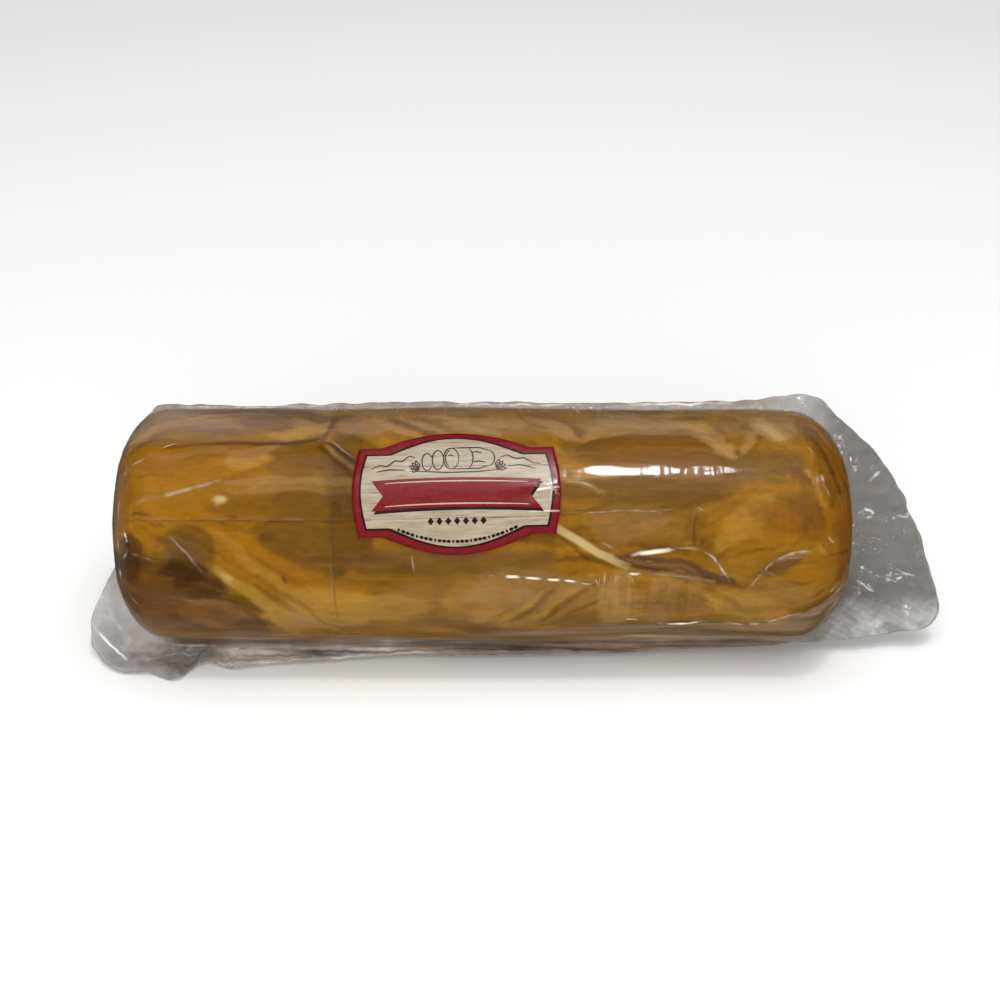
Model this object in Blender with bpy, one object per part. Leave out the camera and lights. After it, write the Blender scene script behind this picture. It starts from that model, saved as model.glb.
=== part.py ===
"""A log of smoked mozzarella, shrunk into a clear vacuum bag, with a paper label on its front.

The bag and the cheese that fills it are one solid, vacuum_bag: the log that the film clings to,
and the flat skirt of spare film that stands out round it where the bag's two sheets meet.
The label is a thin curved plate on the bag's front.

+X runs along the log, -Y is the front and +Z is up. The origin is the middle of the pack's
footprint, on the surface that it lies on. Lengths are in metres.
"""

import math

import bmesh
import bpy
from mathutils import Vector, noise

# The log
LOG_LENGTH = 0.300
LOG_DIAMETER = 0.096
FOOT_WIDTH = 0.034  # the flat that the soft log has settled on
LEFT_SHOULDER = 0.018
RIGHT_SHOULDER = 0.023
END_TILT = math.radians(8)  # how far each end's slight dome leans at its rim
BARREL_SWELL = 0.0012

# The log's relief: the mould's long facets, the kneaded lobes, and the folds between them
FACETS = 9
FACET_EDGE = math.radians(37)
FACET_SHARE = 0.30
LOBE_HEIGHT = 0.0011
LOBE_LENGTH = 0.055
# Each fold runs from (x, degrees round) to (x, degrees round), with its half width and its depth.
# Degrees are counted up from the front, so 90 is the top.
FOLDS = (
    ((0.028, 37), (0.054, 16), 0.0050, 0.0016),
    ((0.054, 16), (0.108, 2), 0.0055, 0.0013),
    ((-0.065, 112), (-0.064, 79), 0.0050, 0.0014),
    ((-0.064, 79), (-0.052, 66), 0.0045, 0.0012),
    ((-0.064, 79), (-0.136, 82), 0.0060, 0.0016),
    ((0.105, 3), (0.128, 26), 0.0050, 0.0010),
    ((-0.118, 10), (-0.139, 24), 0.0050, 0.0012),
    ((0.030, 130), (0.095, 158), 0.0060, 0.0014),
    ((-0.095, 150), (-0.020, 176), 0.0060, 0.0014),
    ((0.060, -38), (0.120, -12), 0.0060, 0.0011),
)

# The bag's spare film. Its flat plane leans back through the log's axis, and its front edge
# bends at the surface below to lie along it.
FILM_SHEETS = 0.0014
BAG_LEAN = math.radians(55)
BEND_LENGTH = 0.006
RIPPLE_HEIGHT = 0.0011
RIPPLE_LENGTH = 0.030
# The skirt's outline: x along the log, and w up the leaning plane from the log's axis
BACK_EDGE = (
    (-0.1535, -0.0140), (-0.1526, 0.0020), (-0.1528, 0.0160), (-0.1520, 0.0280),
    (-0.1478, 0.0390), (-0.1400, 0.0465), (-0.1330, 0.0505), (-0.1000, 0.0500),
    (-0.0350, 0.0513), (0.0500, 0.0512), (0.1080, 0.0520), (0.1370, 0.0545), (0.1485, 0.0460),
    (0.1557, 0.0387), (0.1628, 0.0320), (0.1683, 0.0253), (0.1746, 0.0152), (0.1788, 0.0051),
    (0.1838, -0.0050), (0.1868, -0.0152), (0.1897, -0.0270),
)
FRONT_EDGE = (
    (0.1915, -0.0370), (0.1868, -0.0432), (0.1748, -0.0455), (0.1495, -0.0490),
    (0.1158, -0.0518), (0.0822, -0.0537), (0.0486, -0.0558), (0.0067, -0.0569),
    (-0.0351, -0.0570), (-0.0640, -0.0598), (-0.0900, -0.0625), (-0.1043, -0.0645),
    (-0.1148, -0.0609), (-0.1209, -0.0645), (-0.1263, -0.0708), (-0.1370, -0.0675),
    (-0.1503, -0.0663), (-0.1575, -0.0618), (-0.1635, -0.0530), (-0.1648, -0.0430),
    (-0.1630, -0.0340), (-0.1592, -0.0255),
)
OUTLINE_STEPS = 2  # points on the outline for each one above

# The label
LABEL_LENGTH = 0.082
LABEL_HEIGHT = 0.052
LABEL_CORNER_HEIGHT = 0.036
LABEL_CORNER_LENGTH = 0.077
LABEL_STEP = 0.009  # the straight edge beside each corner, before the arc starts
LABEL_X = -0.0105
LABEL_ANGLE = math.radians(51)
LABEL_THICKNESS = 0.0004
LABEL_GAP = 0.0005

# Mesh cells
LOG_SIDES = 72
FACE_RINGS = 5
SHOULDER_RINGS = 6
BARREL_RINGS = 33
SKIRT_CELL = 0.0095
LABEL_CELL = 0.0045

LOG_RADIUS = LOG_DIAMETER / 2
AXIS_HEIGHT = math.sqrt(LOG_RADIUS**2 - (FOOT_WIDTH / 2) ** 2)


def smooth_step(value):
    """0 below 0, 1 above 1, and a smooth rise between."""
    t = min(max(value, 0.0), 1.0)
    return t * t * (3 - 2 * t)


def log_profile():
    """(x, radius) from the middle of the left end, along the side, to the middle of the right end."""
    half = LOG_LENGTH / 2

    def end(shoulder):
        face = LOG_RADIUS - shoulder * (1 - math.sin(END_TILT))
        dome = face * math.tan(END_TILT) / 2
        points = []
        for ring in range(FACE_RINGS):
            share = ring / FACE_RINGS
            points.append((dome * share**2, face * share))
        for ring in range(SHOULDER_RINGS + 1):
            turn = END_TILT + (math.pi / 2 - END_TILT) * ring / SHOULDER_RINGS
            depth = dome + shoulder * (math.cos(END_TILT) - math.cos(turn))
            points.append((depth, face + shoulder * (math.sin(turn) - math.sin(END_TILT))))
        return points

    left = [(-half + depth, radius) for depth, radius in end(LEFT_SHOULDER)]
    right = [(half - depth, radius) for depth, radius in reversed(end(RIGHT_SHOULDER))]
    start, stop = left[-1][0], right[0][0]
    barrel = []
    for ring in range(1, BARREL_RINGS):
        share = ring / BARREL_RINGS
        swell = BARREL_SWELL * math.sin(math.pi * share)
        barrel.append((start + (stop - start) * share, LOG_RADIUS + swell))
    return left + barrel + right


def facet_relief(angle):
    """How far a flat-sided log stands in from a round one."""
    side = math.tau / FACETS
    off_middle = (angle - FACET_EDGE) % side - side / 2
    apothem = LOG_RADIUS * math.cos(side / 2)
    return FACET_SHARE * (apothem / math.cos(off_middle) - LOG_RADIUS)


def lobe_relief(x, angle):
    """The log's slow swelling and sinking, from how the curd was folded."""
    place = Vector((x, LOG_RADIUS * math.cos(angle), LOG_RADIUS * math.sin(angle)))
    return LOBE_HEIGHT * noise.noise(place / LOBE_LENGTH)


def fold_relief(x, angle):
    """The folds between the lobes, measured over the unrolled side of the log."""
    here = Vector((x, LOG_RADIUS * ((angle + math.pi / 2) % math.tau - math.pi / 2)))
    depth_here = 0.0
    for start, stop, half_width, depth in FOLDS:
        a = Vector((start[0], LOG_RADIUS * math.radians(start[1])))
        b = Vector((stop[0], LOG_RADIUS * math.radians(stop[1])))
        run = b - a
        share = min(max((here - a).dot(run) / run.length_squared, 0.0), 1.0)
        distance = (here - a - run * share).length
        depth_here = max(depth_here, depth * math.exp(-((distance / half_width) ** 2)))
    return -depth_here


def side_radius(x, angle, radius):
    """The log's radius there, with its relief, which dies out towards the middle of each end."""
    relief = facet_relief(angle) + lobe_relief(x, angle) + fold_relief(x, angle)
    return radius + relief * smooth_step(radius / LOG_RADIUS)


def on_log(x, angle, radius):
    """The point at that angle and radius round the log's axis. None is below the foot."""
    height = AXIS_HEIGHT + radius * math.sin(angle)
    return Vector((x, -radius * math.cos(angle), max(height, 0.0)))


def make_log(name):
    """A ball whose rings are moved onto the log's profile, one by one."""
    profile = log_profile()
    rings = len(profile) - 1
    bpy.ops.mesh.primitive_uv_sphere_add(segments=LOG_SIDES, ring_count=rings, radius=1)
    log = bpy.context.object
    log.name = name
    for vertex in log.data.vertices:
        down, across, up = vertex.co.z, vertex.co.x, vertex.co.y
        ring = round(math.acos(max(-1.0, min(1.0, down))) / math.pi * rings)
        x, radius = profile[ring]
        angle = math.atan2(up, across)
        vertex.co = on_log(x, angle, side_radius(x, angle, radius))
    face_outwards(log.data)
    return log


def face_outwards(mesh):
    """Turns every face to the outside."""
    work = bmesh.new()
    work.from_mesh(mesh)
    bmesh.ops.recalc_face_normals(work, faces=work.faces)
    work.to_mesh(mesh)
    work.free()


def smooth_outline(corners, steps):
    """A closed curve through the corners, with that many points for each."""
    count = len(corners)
    points = []
    for index in range(count):
        p0, p1, p2, p3 = (Vector(corners[(index + k) % count]) for k in (-1, 0, 1, 2))
        for step in range(steps):
            t = step / steps
            points.append(
                0.5 * (2 * p1 + (p2 - p0) * t + (2 * p0 - 5 * p1 + 4 * p2 - p3) * t**2
                       + (3 * p1 - 3 * p2 + p3 - p0) * t**3)
            )
    return points


def bent_sheet(name, outline, thickness, cell, place):
    """A flat sheet of that outline, cut into cells, thickened, then bent by place(along, across, lift)."""
    curve = bpy.data.curves.new(name, "CURVE")
    curve.dimensions = "2D"
    curve.fill_mode = "BOTH"
    spline = curve.splines.new("POLY")
    spline.points.add(len(outline) - 1)
    for point, (along, across) in zip(spline.points, outline):
        point.co = (along, across, 0, 1)
    spline.use_cyclic_u = True
    drawn = bpy.data.objects.new(name + "_outline", curve)
    bpy.context.scene.collection.objects.link(drawn)
    graph = bpy.context.evaluated_depsgraph_get()
    mesh = bpy.data.meshes.new_from_object(drawn.evaluated_get(graph))
    bpy.data.objects.remove(drawn)

    work = bmesh.new()
    work.from_mesh(mesh)
    bmesh.ops.remove_doubles(work, verts=work.verts, dist=1e-6)
    inner_edges = [edge for edge in work.edges if len(edge.link_faces) == 2]
    bmesh.ops.dissolve_edges(work, edges=inner_edges, use_verts=False)
    for axis in (0, 1):
        low = min(point[axis] for point in outline)
        high = max(point[axis] for point in outline)
        cuts = math.ceil((high - low) / cell)
        normal = Vector((1 - axis, axis, 0))
        for cut in range(1, cuts):
            at = normal * (low + (high - low) * cut / cuts)
            everything = work.verts[:] + work.edges[:] + work.faces[:]
            bmesh.ops.bisect_plane(work, geom=everything, plane_co=at, plane_no=normal, dist=2e-4)
    top = bmesh.ops.extrude_face_region(work, geom=work.faces[:])
    for item in top["geom"]:
        if isinstance(item, bmesh.types.BMVert):
            item.co.z = thickness
    bmesh.ops.triangulate(work, faces=work.faces[:])
    for vertex in work.verts:
        vertex.co = place(*vertex.co)
    bmesh.ops.recalc_face_normals(work, faces=work.faces)
    work.to_mesh(mesh)
    work.free()
    sheet = bpy.data.objects.new(name, mesh)
    bpy.context.scene.collection.objects.link(sheet)
    return sheet


def on_skirt(x, w, lift):
    """A point of the spare film: up the leaning plane, or along the surface below past the bend."""
    half_sheet = FILM_SHEETS / 2
    bend = -(AXIS_HEIGHT - half_sheet) / math.sin(BAG_LEAN)
    past = bend - w
    # laid is how far the film has run along the surface, and it grows smoothly from nothing.
    laid = (past + math.sqrt(past * past + BEND_LENGTH**2)) / 2
    leaning = w + laid
    y = leaning * math.cos(BAG_LEAN) - laid
    z = AXIS_HEIGHT + leaning * math.sin(BAG_LEAN)
    flatness = smooth_step(past / BEND_LENGTH + 0.5)
    normal = Vector((0, -math.sin(BAG_LEAN), math.cos(BAG_LEAN))).lerp(Vector((0, 0, 1)), flatness)
    normal.normalize()
    waves = RIPPLE_HEIGHT * noise.noise(Vector((x, w, 0)) / RIPPLE_LENGTH) * (1 - flatness)
    point = Vector((x, y, z)) + normal * (lift - half_sheet + waves)
    point.z = max(point.z, 0.0)
    return point


def label_outline():
    """A plaque: a short straight edge each side of a corner, and arcs between, bowed outwards."""
    half_length, half_height = LABEL_LENGTH / 2, LABEL_HEIGHT / 2
    corner_x, corner_y = LABEL_CORNER_LENGTH / 2, LABEL_CORNER_HEIGHT / 2
    arc_x = corner_x - LABEL_STEP
    steps = 8

    def bow(share):
        return math.sin(math.pi * share)

    points = []
    for step in range(steps + 1):
        share = step / steps
        points.append((-arc_x + 2 * arc_x * share, corner_y + (half_height - corner_y) * bow(share)))
    for step in range(steps + 1):
        share = step / steps
        points.append((corner_x + (half_length - corner_x) * bow(share), corner_y * (1 - 2 * share)))
    return points + [(-x, -y) for x, y in points]


def on_label(along, across, lift):
    """A point of the label, wrapped round the log over the film."""
    x = LABEL_X + along
    angle = LABEL_ANGLE + across / LOG_RADIUS
    radius = side_radius(x, angle, LOG_RADIUS + BARREL_SWELL) + LABEL_GAP + lift
    return on_log(x, angle, radius)


def give_material(thing, name, colour, roughness):
    material = bpy.data.materials.new(name)
    material.use_nodes = True
    shader = material.node_tree.nodes["Principled BSDF"]
    shader.inputs["Base Color"].default_value = (*colour, 1)
    shader.inputs["Roughness"].default_value = roughness
    shader.inputs["Metallic"].default_value = 0
    thing.data.materials.clear()
    thing.data.materials.append(material)


def make_bag():
    """The filled bag: the log and its skirt of spare film, joined as one solid."""
    bag = make_log("vacuum_bag")
    outline = smooth_outline(BACK_EDGE + FRONT_EDGE, OUTLINE_STEPS)
    skirt = bent_sheet("skirt", outline, FILM_SHEETS, SKIRT_CELL, on_skirt)
    join = bag.modifiers.new("join", "BOOLEAN")
    join.operation = "UNION"
    join.solver = "EXACT"
    join.object = skirt
    graph = bpy.context.evaluated_depsgraph_get()
    joined = bpy.data.meshes.new_from_object(bag.evaluated_get(graph))
    bag.modifiers.clear()
    bag.data = joined
    bpy.data.objects.remove(skirt)
    give_material(bag, "smoked_rind_under_film", (0.33, 0.15, 0.03), 0.18)
    return bag


def make_label():
    label = bent_sheet("label", label_outline(), LABEL_THICKNESS, LABEL_CELL, on_label)
    give_material(label, "label_paper", (0.55, 0.48, 0.36), 0.35)
    return label


def put_on_origin(things):
    """Hangs the things on an empty that brings the middle of their footprint to the origin."""
    corners = [vertex.co for thing in things for vertex in thing.data.vertices]
    middle_x = (min(c.x for c in corners) + max(c.x for c in corners)) / 2
    middle_y = (min(c.y for c in corners) + max(c.y for c in corners)) / 2
    pack = bpy.data.objects.new("pack", None)
    pack.location = (-middle_x, -middle_y, 0)
    bpy.context.scene.collection.objects.link(pack)
    for thing in things:
        thing.parent = pack


def main():
    for thing in list(bpy.data.objects):
        bpy.data.objects.remove(thing)
    things = [make_bag(), make_label()]
    collection = bpy.data.collections.new("smoked_mozzarella")
    bpy.context.scene.collection.children.link(collection)
    for thing in things:
        for holder in list(thing.users_collection):
            holder.objects.unlink(thing)
        collection.objects.link(thing)
        thing.data.shade_smooth()
        thing.data.set_sharp_from_angle(angle=math.radians(40))
    put_on_origin(things)


main()
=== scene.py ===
import math

import bpy
import numpy as np
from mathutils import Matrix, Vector, noise


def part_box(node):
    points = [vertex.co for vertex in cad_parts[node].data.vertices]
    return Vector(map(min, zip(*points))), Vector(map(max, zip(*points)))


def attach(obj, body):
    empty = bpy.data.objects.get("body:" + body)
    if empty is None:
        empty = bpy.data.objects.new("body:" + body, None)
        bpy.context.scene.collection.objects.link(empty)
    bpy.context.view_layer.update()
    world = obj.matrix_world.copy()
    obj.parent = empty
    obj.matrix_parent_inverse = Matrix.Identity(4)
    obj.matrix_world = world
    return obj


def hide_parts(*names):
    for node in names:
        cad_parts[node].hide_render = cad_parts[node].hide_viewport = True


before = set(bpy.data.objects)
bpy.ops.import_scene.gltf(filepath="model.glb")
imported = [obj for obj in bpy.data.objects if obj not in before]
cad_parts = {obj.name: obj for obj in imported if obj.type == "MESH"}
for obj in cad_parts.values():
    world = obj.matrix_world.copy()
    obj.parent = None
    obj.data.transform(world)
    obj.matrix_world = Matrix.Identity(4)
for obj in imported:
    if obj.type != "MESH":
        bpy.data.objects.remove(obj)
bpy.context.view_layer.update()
bpy.ops.object.select_all(action="DESELECT")


# ---- The counter, the light and the camera ----
# A plain pale counter under a soft studio ceiling, with one small bright panel overhead whose
# reflection is the long band on the film, and a dim window behind whose sheen lies on its top.
# The camera looks down on the pack's front.

bag_low, bag_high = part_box("vacuum_bag")
LOG_RADIUS = 0.048
FOOT_WIDTH = 0.034  # the flat that the soft log has settled on
LEFT_REACH = 0.1648  # from the log's middle to the bag's left end
BACK_REACH = 0.04835  # from the log's middle to the bag's back
LOG_X = bag_low[0] + LEFT_REACH
LOG_Y = bag_high[1] - BACK_REACH
AXIS_HEIGHT = math.sqrt(LOG_RADIUS**2 - (FOOT_WIDTH / 2) ** 2)

CAMERA_OFFSET = (0.00673, -0.48594, 0.39757)  # from the log's middle, on the counter
CAMERA_ELEVATION = math.radians(35)
LENS_MM = 51.36

bpy.ops.object.camera_add(
    location=(LOG_X + CAMERA_OFFSET[0], LOG_Y + CAMERA_OFFSET[1], CAMERA_OFFSET[2]),
    rotation=(math.pi / 2 - CAMERA_ELEVATION, 0, 0),
)
camera = bpy.context.object
camera.data.lens = LENS_MM
camera.data.sensor_width = 36
camera.data.clip_start = 0.01
bpy.context.scene.camera = camera
bpy.context.scene.view_settings.view_transform = "Standard"

COUNTER_WIDTH = 8
bpy.ops.mesh.primitive_plane_add(size=COUNTER_WIDTH, location=(LOG_X, LOG_Y, -0.0002))
counter = bpy.context.object
counter.name = "counter"
counter.visible_glossy = False
counter_finish = bpy.data.materials.new("pale_counter")
counter_finish.use_nodes = True
counter_shader = counter_finish.node_tree.nodes["Principled BSDF"]
counter_shader.inputs["Base Color"].default_value = (0.88, 0.88, 0.875, 1)
counter_shader.inputs["Roughness"].default_value = 0.7
counter_shader.inputs["Specular IOR Level"].default_value = 0.2
counter.data.materials.append(counter_finish)


def add_lamp(name, place, aim, width, depth, watts, shines):
    """An area lamp. shines says whether the film mirrors it."""
    direction = Vector(aim) - Vector(place)
    bpy.ops.object.light_add(
        type="AREA", location=place, rotation=direction.to_track_quat("-Z", "Y").to_euler()
    )
    lamp = bpy.context.object
    lamp.name = name
    lamp.data.shape = "RECTANGLE"
    lamp.data.size = width
    lamp.data.size_y = depth
    lamp.data.energy = watts
    lamp.visible_glossy = shines


PACK_MIDDLE = (LOG_X, LOG_Y, AXIS_HEIGHT)
PANEL = (LOG_X + 0.199, LOG_Y - 0.12, 1.45)
add_lamp("ceiling_panel", PANEL, (PANEL[0], PANEL[1], 0), 0.185, 0.13, 3.9, True)
add_lamp("soft_ceiling", (LOG_X, LOG_Y - 0.2, 2.2), PACK_MIDDLE, 2.6, 2.2, 41, False)
add_lamp("back_window", (LOG_X - 0.1, LOG_Y + 1.7, 1.1), PACK_MIDDLE, 2.0, 0.7, 0.9, True)
add_lamp("soft_front", (LOG_X - 0.2, LOG_Y - 2.2, 0.9), PACK_MIDDLE, 2.2, 1.5, 34, False)

world = bpy.data.worlds.new("studio")
bpy.context.scene.world = world
world.use_nodes = True
room_light = world.node_tree.nodes["Background"].inputs
room_light["Color"].default_value = (0.62, 0.62, 0.63, 1)
room_light["Strength"].default_value = 0.42
world.cycles_visibility.glossy = False


# ---- The log of cheese ----
# Low-moisture mozzarella, kneaded in hot water, pressed in a round mould with long flats, then
# smoked: the folded curd takes the smoke unevenly, from butter yellow to dark brown. It is soft,
# so it has settled on a flat foot, and the vacuum has pressed folds into it.

LOG_LENGTH = 0.300
LEFT_SHOULDER = 0.018
RIGHT_SHOULDER = 0.023
END_TILT = math.radians(8)  # how far each end's slight dome leans at its rim
BARREL_SWELL = 0.0012
FACETS = 9  # the mould's long flats
FACET_EDGE = math.radians(37)
FACET_SHARE = 0.30  # how flat they are, from 0, round, to 1
LOBE_HEIGHT = 0.0011
LOBE_LENGTH = 0.055
FILM_GAP = 0.0005  # the cheese's skin lies this far under the film's outside
# Each fold: from (mm along, degrees up from the front), to the same, half width and depth in mm
FOLDS = (
    ((28, 37), (54, 16), 5.0, 1.6),
    ((54, 16), (108, 2), 5.5, 1.3),
    ((-65, 112), (-64, 79), 5.0, 1.4),
    ((-64, 79), (-52, 66), 4.5, 1.2),
    ((-64, 79), (-136, 82), 6.0, 1.6),
    ((105, 3), (128, 26), 5.0, 1.0),
    ((-118, 10), (-139, 24), 5.0, 1.2),
    ((30, 130), (95, 158), 6.0, 1.4),
    ((-95, 150), (-20, 176), 6.0, 1.4),
    ((60, -38), (120, -12), 6.0, 1.1),
)
LOG_SIDES = 250
FINE_FROM, FINE_TO = -40, 125  # degrees up, the side that the camera sees
FINE_SIDES = 170  # of the log's sides, between those two
FACE_RINGS = 12
SHOULDER_RINGS = 25
BARREL_RINGS = 300


def smooth_step(value, start=0, stop=1):
    """0 at start and before it, 1 at stop and past it, and a smooth change between."""
    t = np.clip((value - start) / (stop - start), 0, 1)
    return t * t * (3 - 2 * t)


RADIUS_MM = LOG_RADIUS * 1000


def as_degrees(millimetres):
    """How many degrees of the log's side that many millimetres reach round."""
    return math.degrees(millimetres / RADIUS_MM)


def unrolled(x, angle):
    """Millimetres along the log and round its side. The seam runs under the foot."""
    round_side = (angle + math.pi / 2) % math.tau - math.pi / 2
    return np.stack([x * 1000, RADIUS_MM * round_side], -1)


def from_route(here, route):
    """Each point's distance from a route of (mm, degrees), its side, its share along and the run."""
    points = [np.array((along, RADIUS_MM * math.radians(up))) for along, up in route]
    whole = sum(np.linalg.norm(b - a) for a, b in zip(points, points[1:]))
    distance = np.full(len(here), np.inf)
    side, share = np.zeros(len(here)), np.zeros(len(here))
    run = np.zeros((len(here), 2))
    done = 0
    for a, b in zip(points, points[1:]):
        length = np.linalg.norm(b - a)
        forward = (b - a) / length
        along = np.clip((here - a) @ forward, 0, length)
        off = here - a - along[:, None] * forward
        far = np.hypot(off[:, 0], off[:, 1])
        nearer = far < distance
        distance[nearer] = far[nearer]
        side[nearer] = np.sign(forward[0] * off[:, 1] - forward[1] * off[:, 0])[nearer]
        share[nearer] = ((done + along) / whole)[nearer]
        run[nearer] = forward
        done += length
    return distance, side, share, run


SLOPES = np.random.default_rng(5).normal(size=(256, 3))
SLOPES /= np.linalg.norm(SLOPES, axis=1)[:, None]
# Large odd numbers that scatter neighbouring cells over the table of slopes
CELL_FACTORS = np.array([73856093, 19349663, 83492791])
SCATTER = 1274126177
FULL_SWING = 1.9  # brings the noise out to about -1 and 1


def noise_at(places, length, shift=0.0):
    """Smooth noise from about -1 to 1, with lumps of that length. Each shift gives its own noise."""
    scaled = places / length + shift
    cell = np.floor(scaled).astype(np.int64)
    part = scaled - cell
    fade = part**3 * (part * (part * 6 - 15) + 10)
    total = np.zeros(len(places))
    for corner in np.ndindex(2, 2, 2):
        key = (cell + corner) @ CELL_FACTORS
        key = (key ^ (key >> 13)) * SCATTER & 0x7FFFFFFF
        slope = SLOPES[(key ^ (key >> 15)) & 255]
        weight = np.where(corner, fade, 1 - fade).prod(axis=1)
        total += weight * ((part - corner) * slope).sum(axis=1)
    return total * FULL_SWING


def jittered(here, places, size, *shifts):
    """Points of a flat map, moved by noise of that size in mm, so that what they carry wavers."""
    return here + size * np.column_stack([noise_at(places, 0.006, shift) for shift in shifts])


def around_axis(x, angle, radius):
    """Points at that angle and radius round the log's axis, with the axis at the origin."""
    return np.stack([x, -radius * np.cos(angle), radius * np.sin(angle)], -1)


def log_relief(x, angle):
    """The mould's flats, the slow lobes of the curd and the folds pressed into it, in metres."""
    flat = math.tau / FACETS
    off_middle = (angle - FACET_EDGE) % flat - flat / 2
    flats = FACET_SHARE * LOG_RADIUS * (math.cos(flat / 2) / np.cos(off_middle) - 1)
    side = around_axis(x, angle, LOG_RADIUS)
    lobes = [noise.noise(Vector(place)) for place in side / LOBE_LENGTH]
    folds = np.zeros(len(x))
    for start, stop, half_width, depth in FOLDS:
        distance = from_route(unrolled(x, angle), (start, stop))[0]
        folds = np.maximum(folds, depth / 1000 * np.exp(-((distance / half_width) ** 2)))
    return flats + LOBE_HEIGHT * np.array(lobes) - folds


def log_profile():
    """Distance along the log and radius of each ring, from the left end's middle to the right's."""
    half = LOG_LENGTH / 2

    def end(shoulder):
        face = LOG_RADIUS - shoulder * (1 - math.sin(END_TILT))
        dome = face * math.tan(END_TILT) / 2
        share = np.arange(FACE_RINGS) / FACE_RINGS
        turn = np.linspace(END_TILT, math.pi / 2, SHOULDER_RINGS + 1)
        depth = [dome * share**2, dome + shoulder * (math.cos(END_TILT) - np.cos(turn))]
        radius = [face * share, face + shoulder * (np.sin(turn) - math.sin(END_TILT))]
        return np.concatenate(depth), np.concatenate(radius)

    left_depth, left_radius = end(LEFT_SHOULDER)
    right_depth, right_radius = end(RIGHT_SHOULDER)
    share = np.arange(1, BARREL_RINGS) / BARREL_RINGS
    start, stop = left_depth[-1] - half, half - right_depth[-1]
    x = np.concatenate([left_depth - half, start + (stop - start) * share, half - right_depth[::-1]])
    swell = LOG_RADIUS + BARREL_SWELL * np.sin(math.pi * share)
    return x, np.concatenate([left_radius, swell, right_radius[::-1]])


def add_grid(name, columns, rows):
    """A grid with each point's column and row."""
    bpy.ops.mesh.primitive_grid_add(x_subdivisions=columns, y_subdivisions=rows, size=2)
    piece = bpy.context.object
    piece.name = name
    points = np.empty(len(piece.data.vertices) * 3)
    piece.data.vertices.foreach_get("co", points)
    places = (points.reshape(-1, 3).T + 1) / 2 * [[columns], [rows], [0]]
    column, row, _ = np.rint(places).astype(int)
    return piece, column, row


def add_log(name):
    """A grid to roll up on the profile, with each point's place along, angle and ring radius."""
    profile_x, profile_radius = log_profile()
    log, side, ring = add_grid(name, LOG_SIDES, len(profile_x) - 1)
    fine = np.linspace(FINE_FROM, FINE_TO, FINE_SIDES, endpoint=False)
    coarse = np.linspace(FINE_TO, FINE_FROM + 360, LOG_SIDES - FINE_SIDES, endpoint=False)
    angle = np.radians(np.concatenate([fine, coarse]))[side % LOG_SIDES]
    return log, profile_x[ring], angle, profile_radius[ring]


def in_place(offsets, lowest):
    """Points round the log's axis, moved to the pack's place. None is below the lowest height."""
    places = offsets + np.array([LOG_X, LOG_Y, AXIS_HEIGHT])
    places[:, 2] = np.maximum(places[:, 2], lowest)
    return places


def close_up(piece, places):
    """Gives the piece its points, welds its seams, turns its faces outwards and shades it smooth."""
    piece.data.vertices.foreach_set("co", places.ravel())
    bpy.ops.object.mode_set(mode="EDIT")
    bpy.ops.mesh.select_all(action="SELECT")
    bpy.ops.mesh.remove_doubles(threshold=1e-7)
    bpy.ops.mesh.normals_make_consistent(inside=False)
    bpy.ops.object.mode_set(mode="OBJECT")
    bpy.ops.object.shade_smooth()
    bpy.ops.object.select_all(action="DESELECT")


def keep(piece, **layers):
    """Stores numbers or colours for the piece's points, under the names that its finish reads."""
    for name, values in layers.items():
        if values.ndim == 1:
            layer = piece.data.attributes.new(name, "FLOAT", "POINT")
            layer.data.foreach_set("value", values)
        else:
            layer = piece.data.attributes.new(name, "FLOAT_COLOR", "POINT")
            opaque = np.column_stack([values, np.ones(len(values))])
            layer.data.foreach_set("color", opaque.ravel())


def from_screen(red, green, blue):
    """A colour named by its screen values, as light."""
    return np.array([((level / 255 + 0.055) / 1.055) ** 2.4 for level in (red, green, blue)])


TONES = {
    "butter": from_screen(167, 125, 44),
    "gold": from_screen(147, 98, 0),
    "amber": from_screen(141, 97, 11),
    "rust": from_screen(132, 80, 12),
    "tan": from_screen(146, 108, 60),
    "olive": from_screen(106, 70, 2),
    "chestnut": from_screen(104, 68, 12),
    "bark": from_screen(108, 73, 36),
    "plum": from_screen(88, 58, 32),
    "umber": from_screen(62, 37, 6),
    "cream": from_screen(190, 166, 110),
    "sand": from_screen(164, 124, 74),
}

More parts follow.
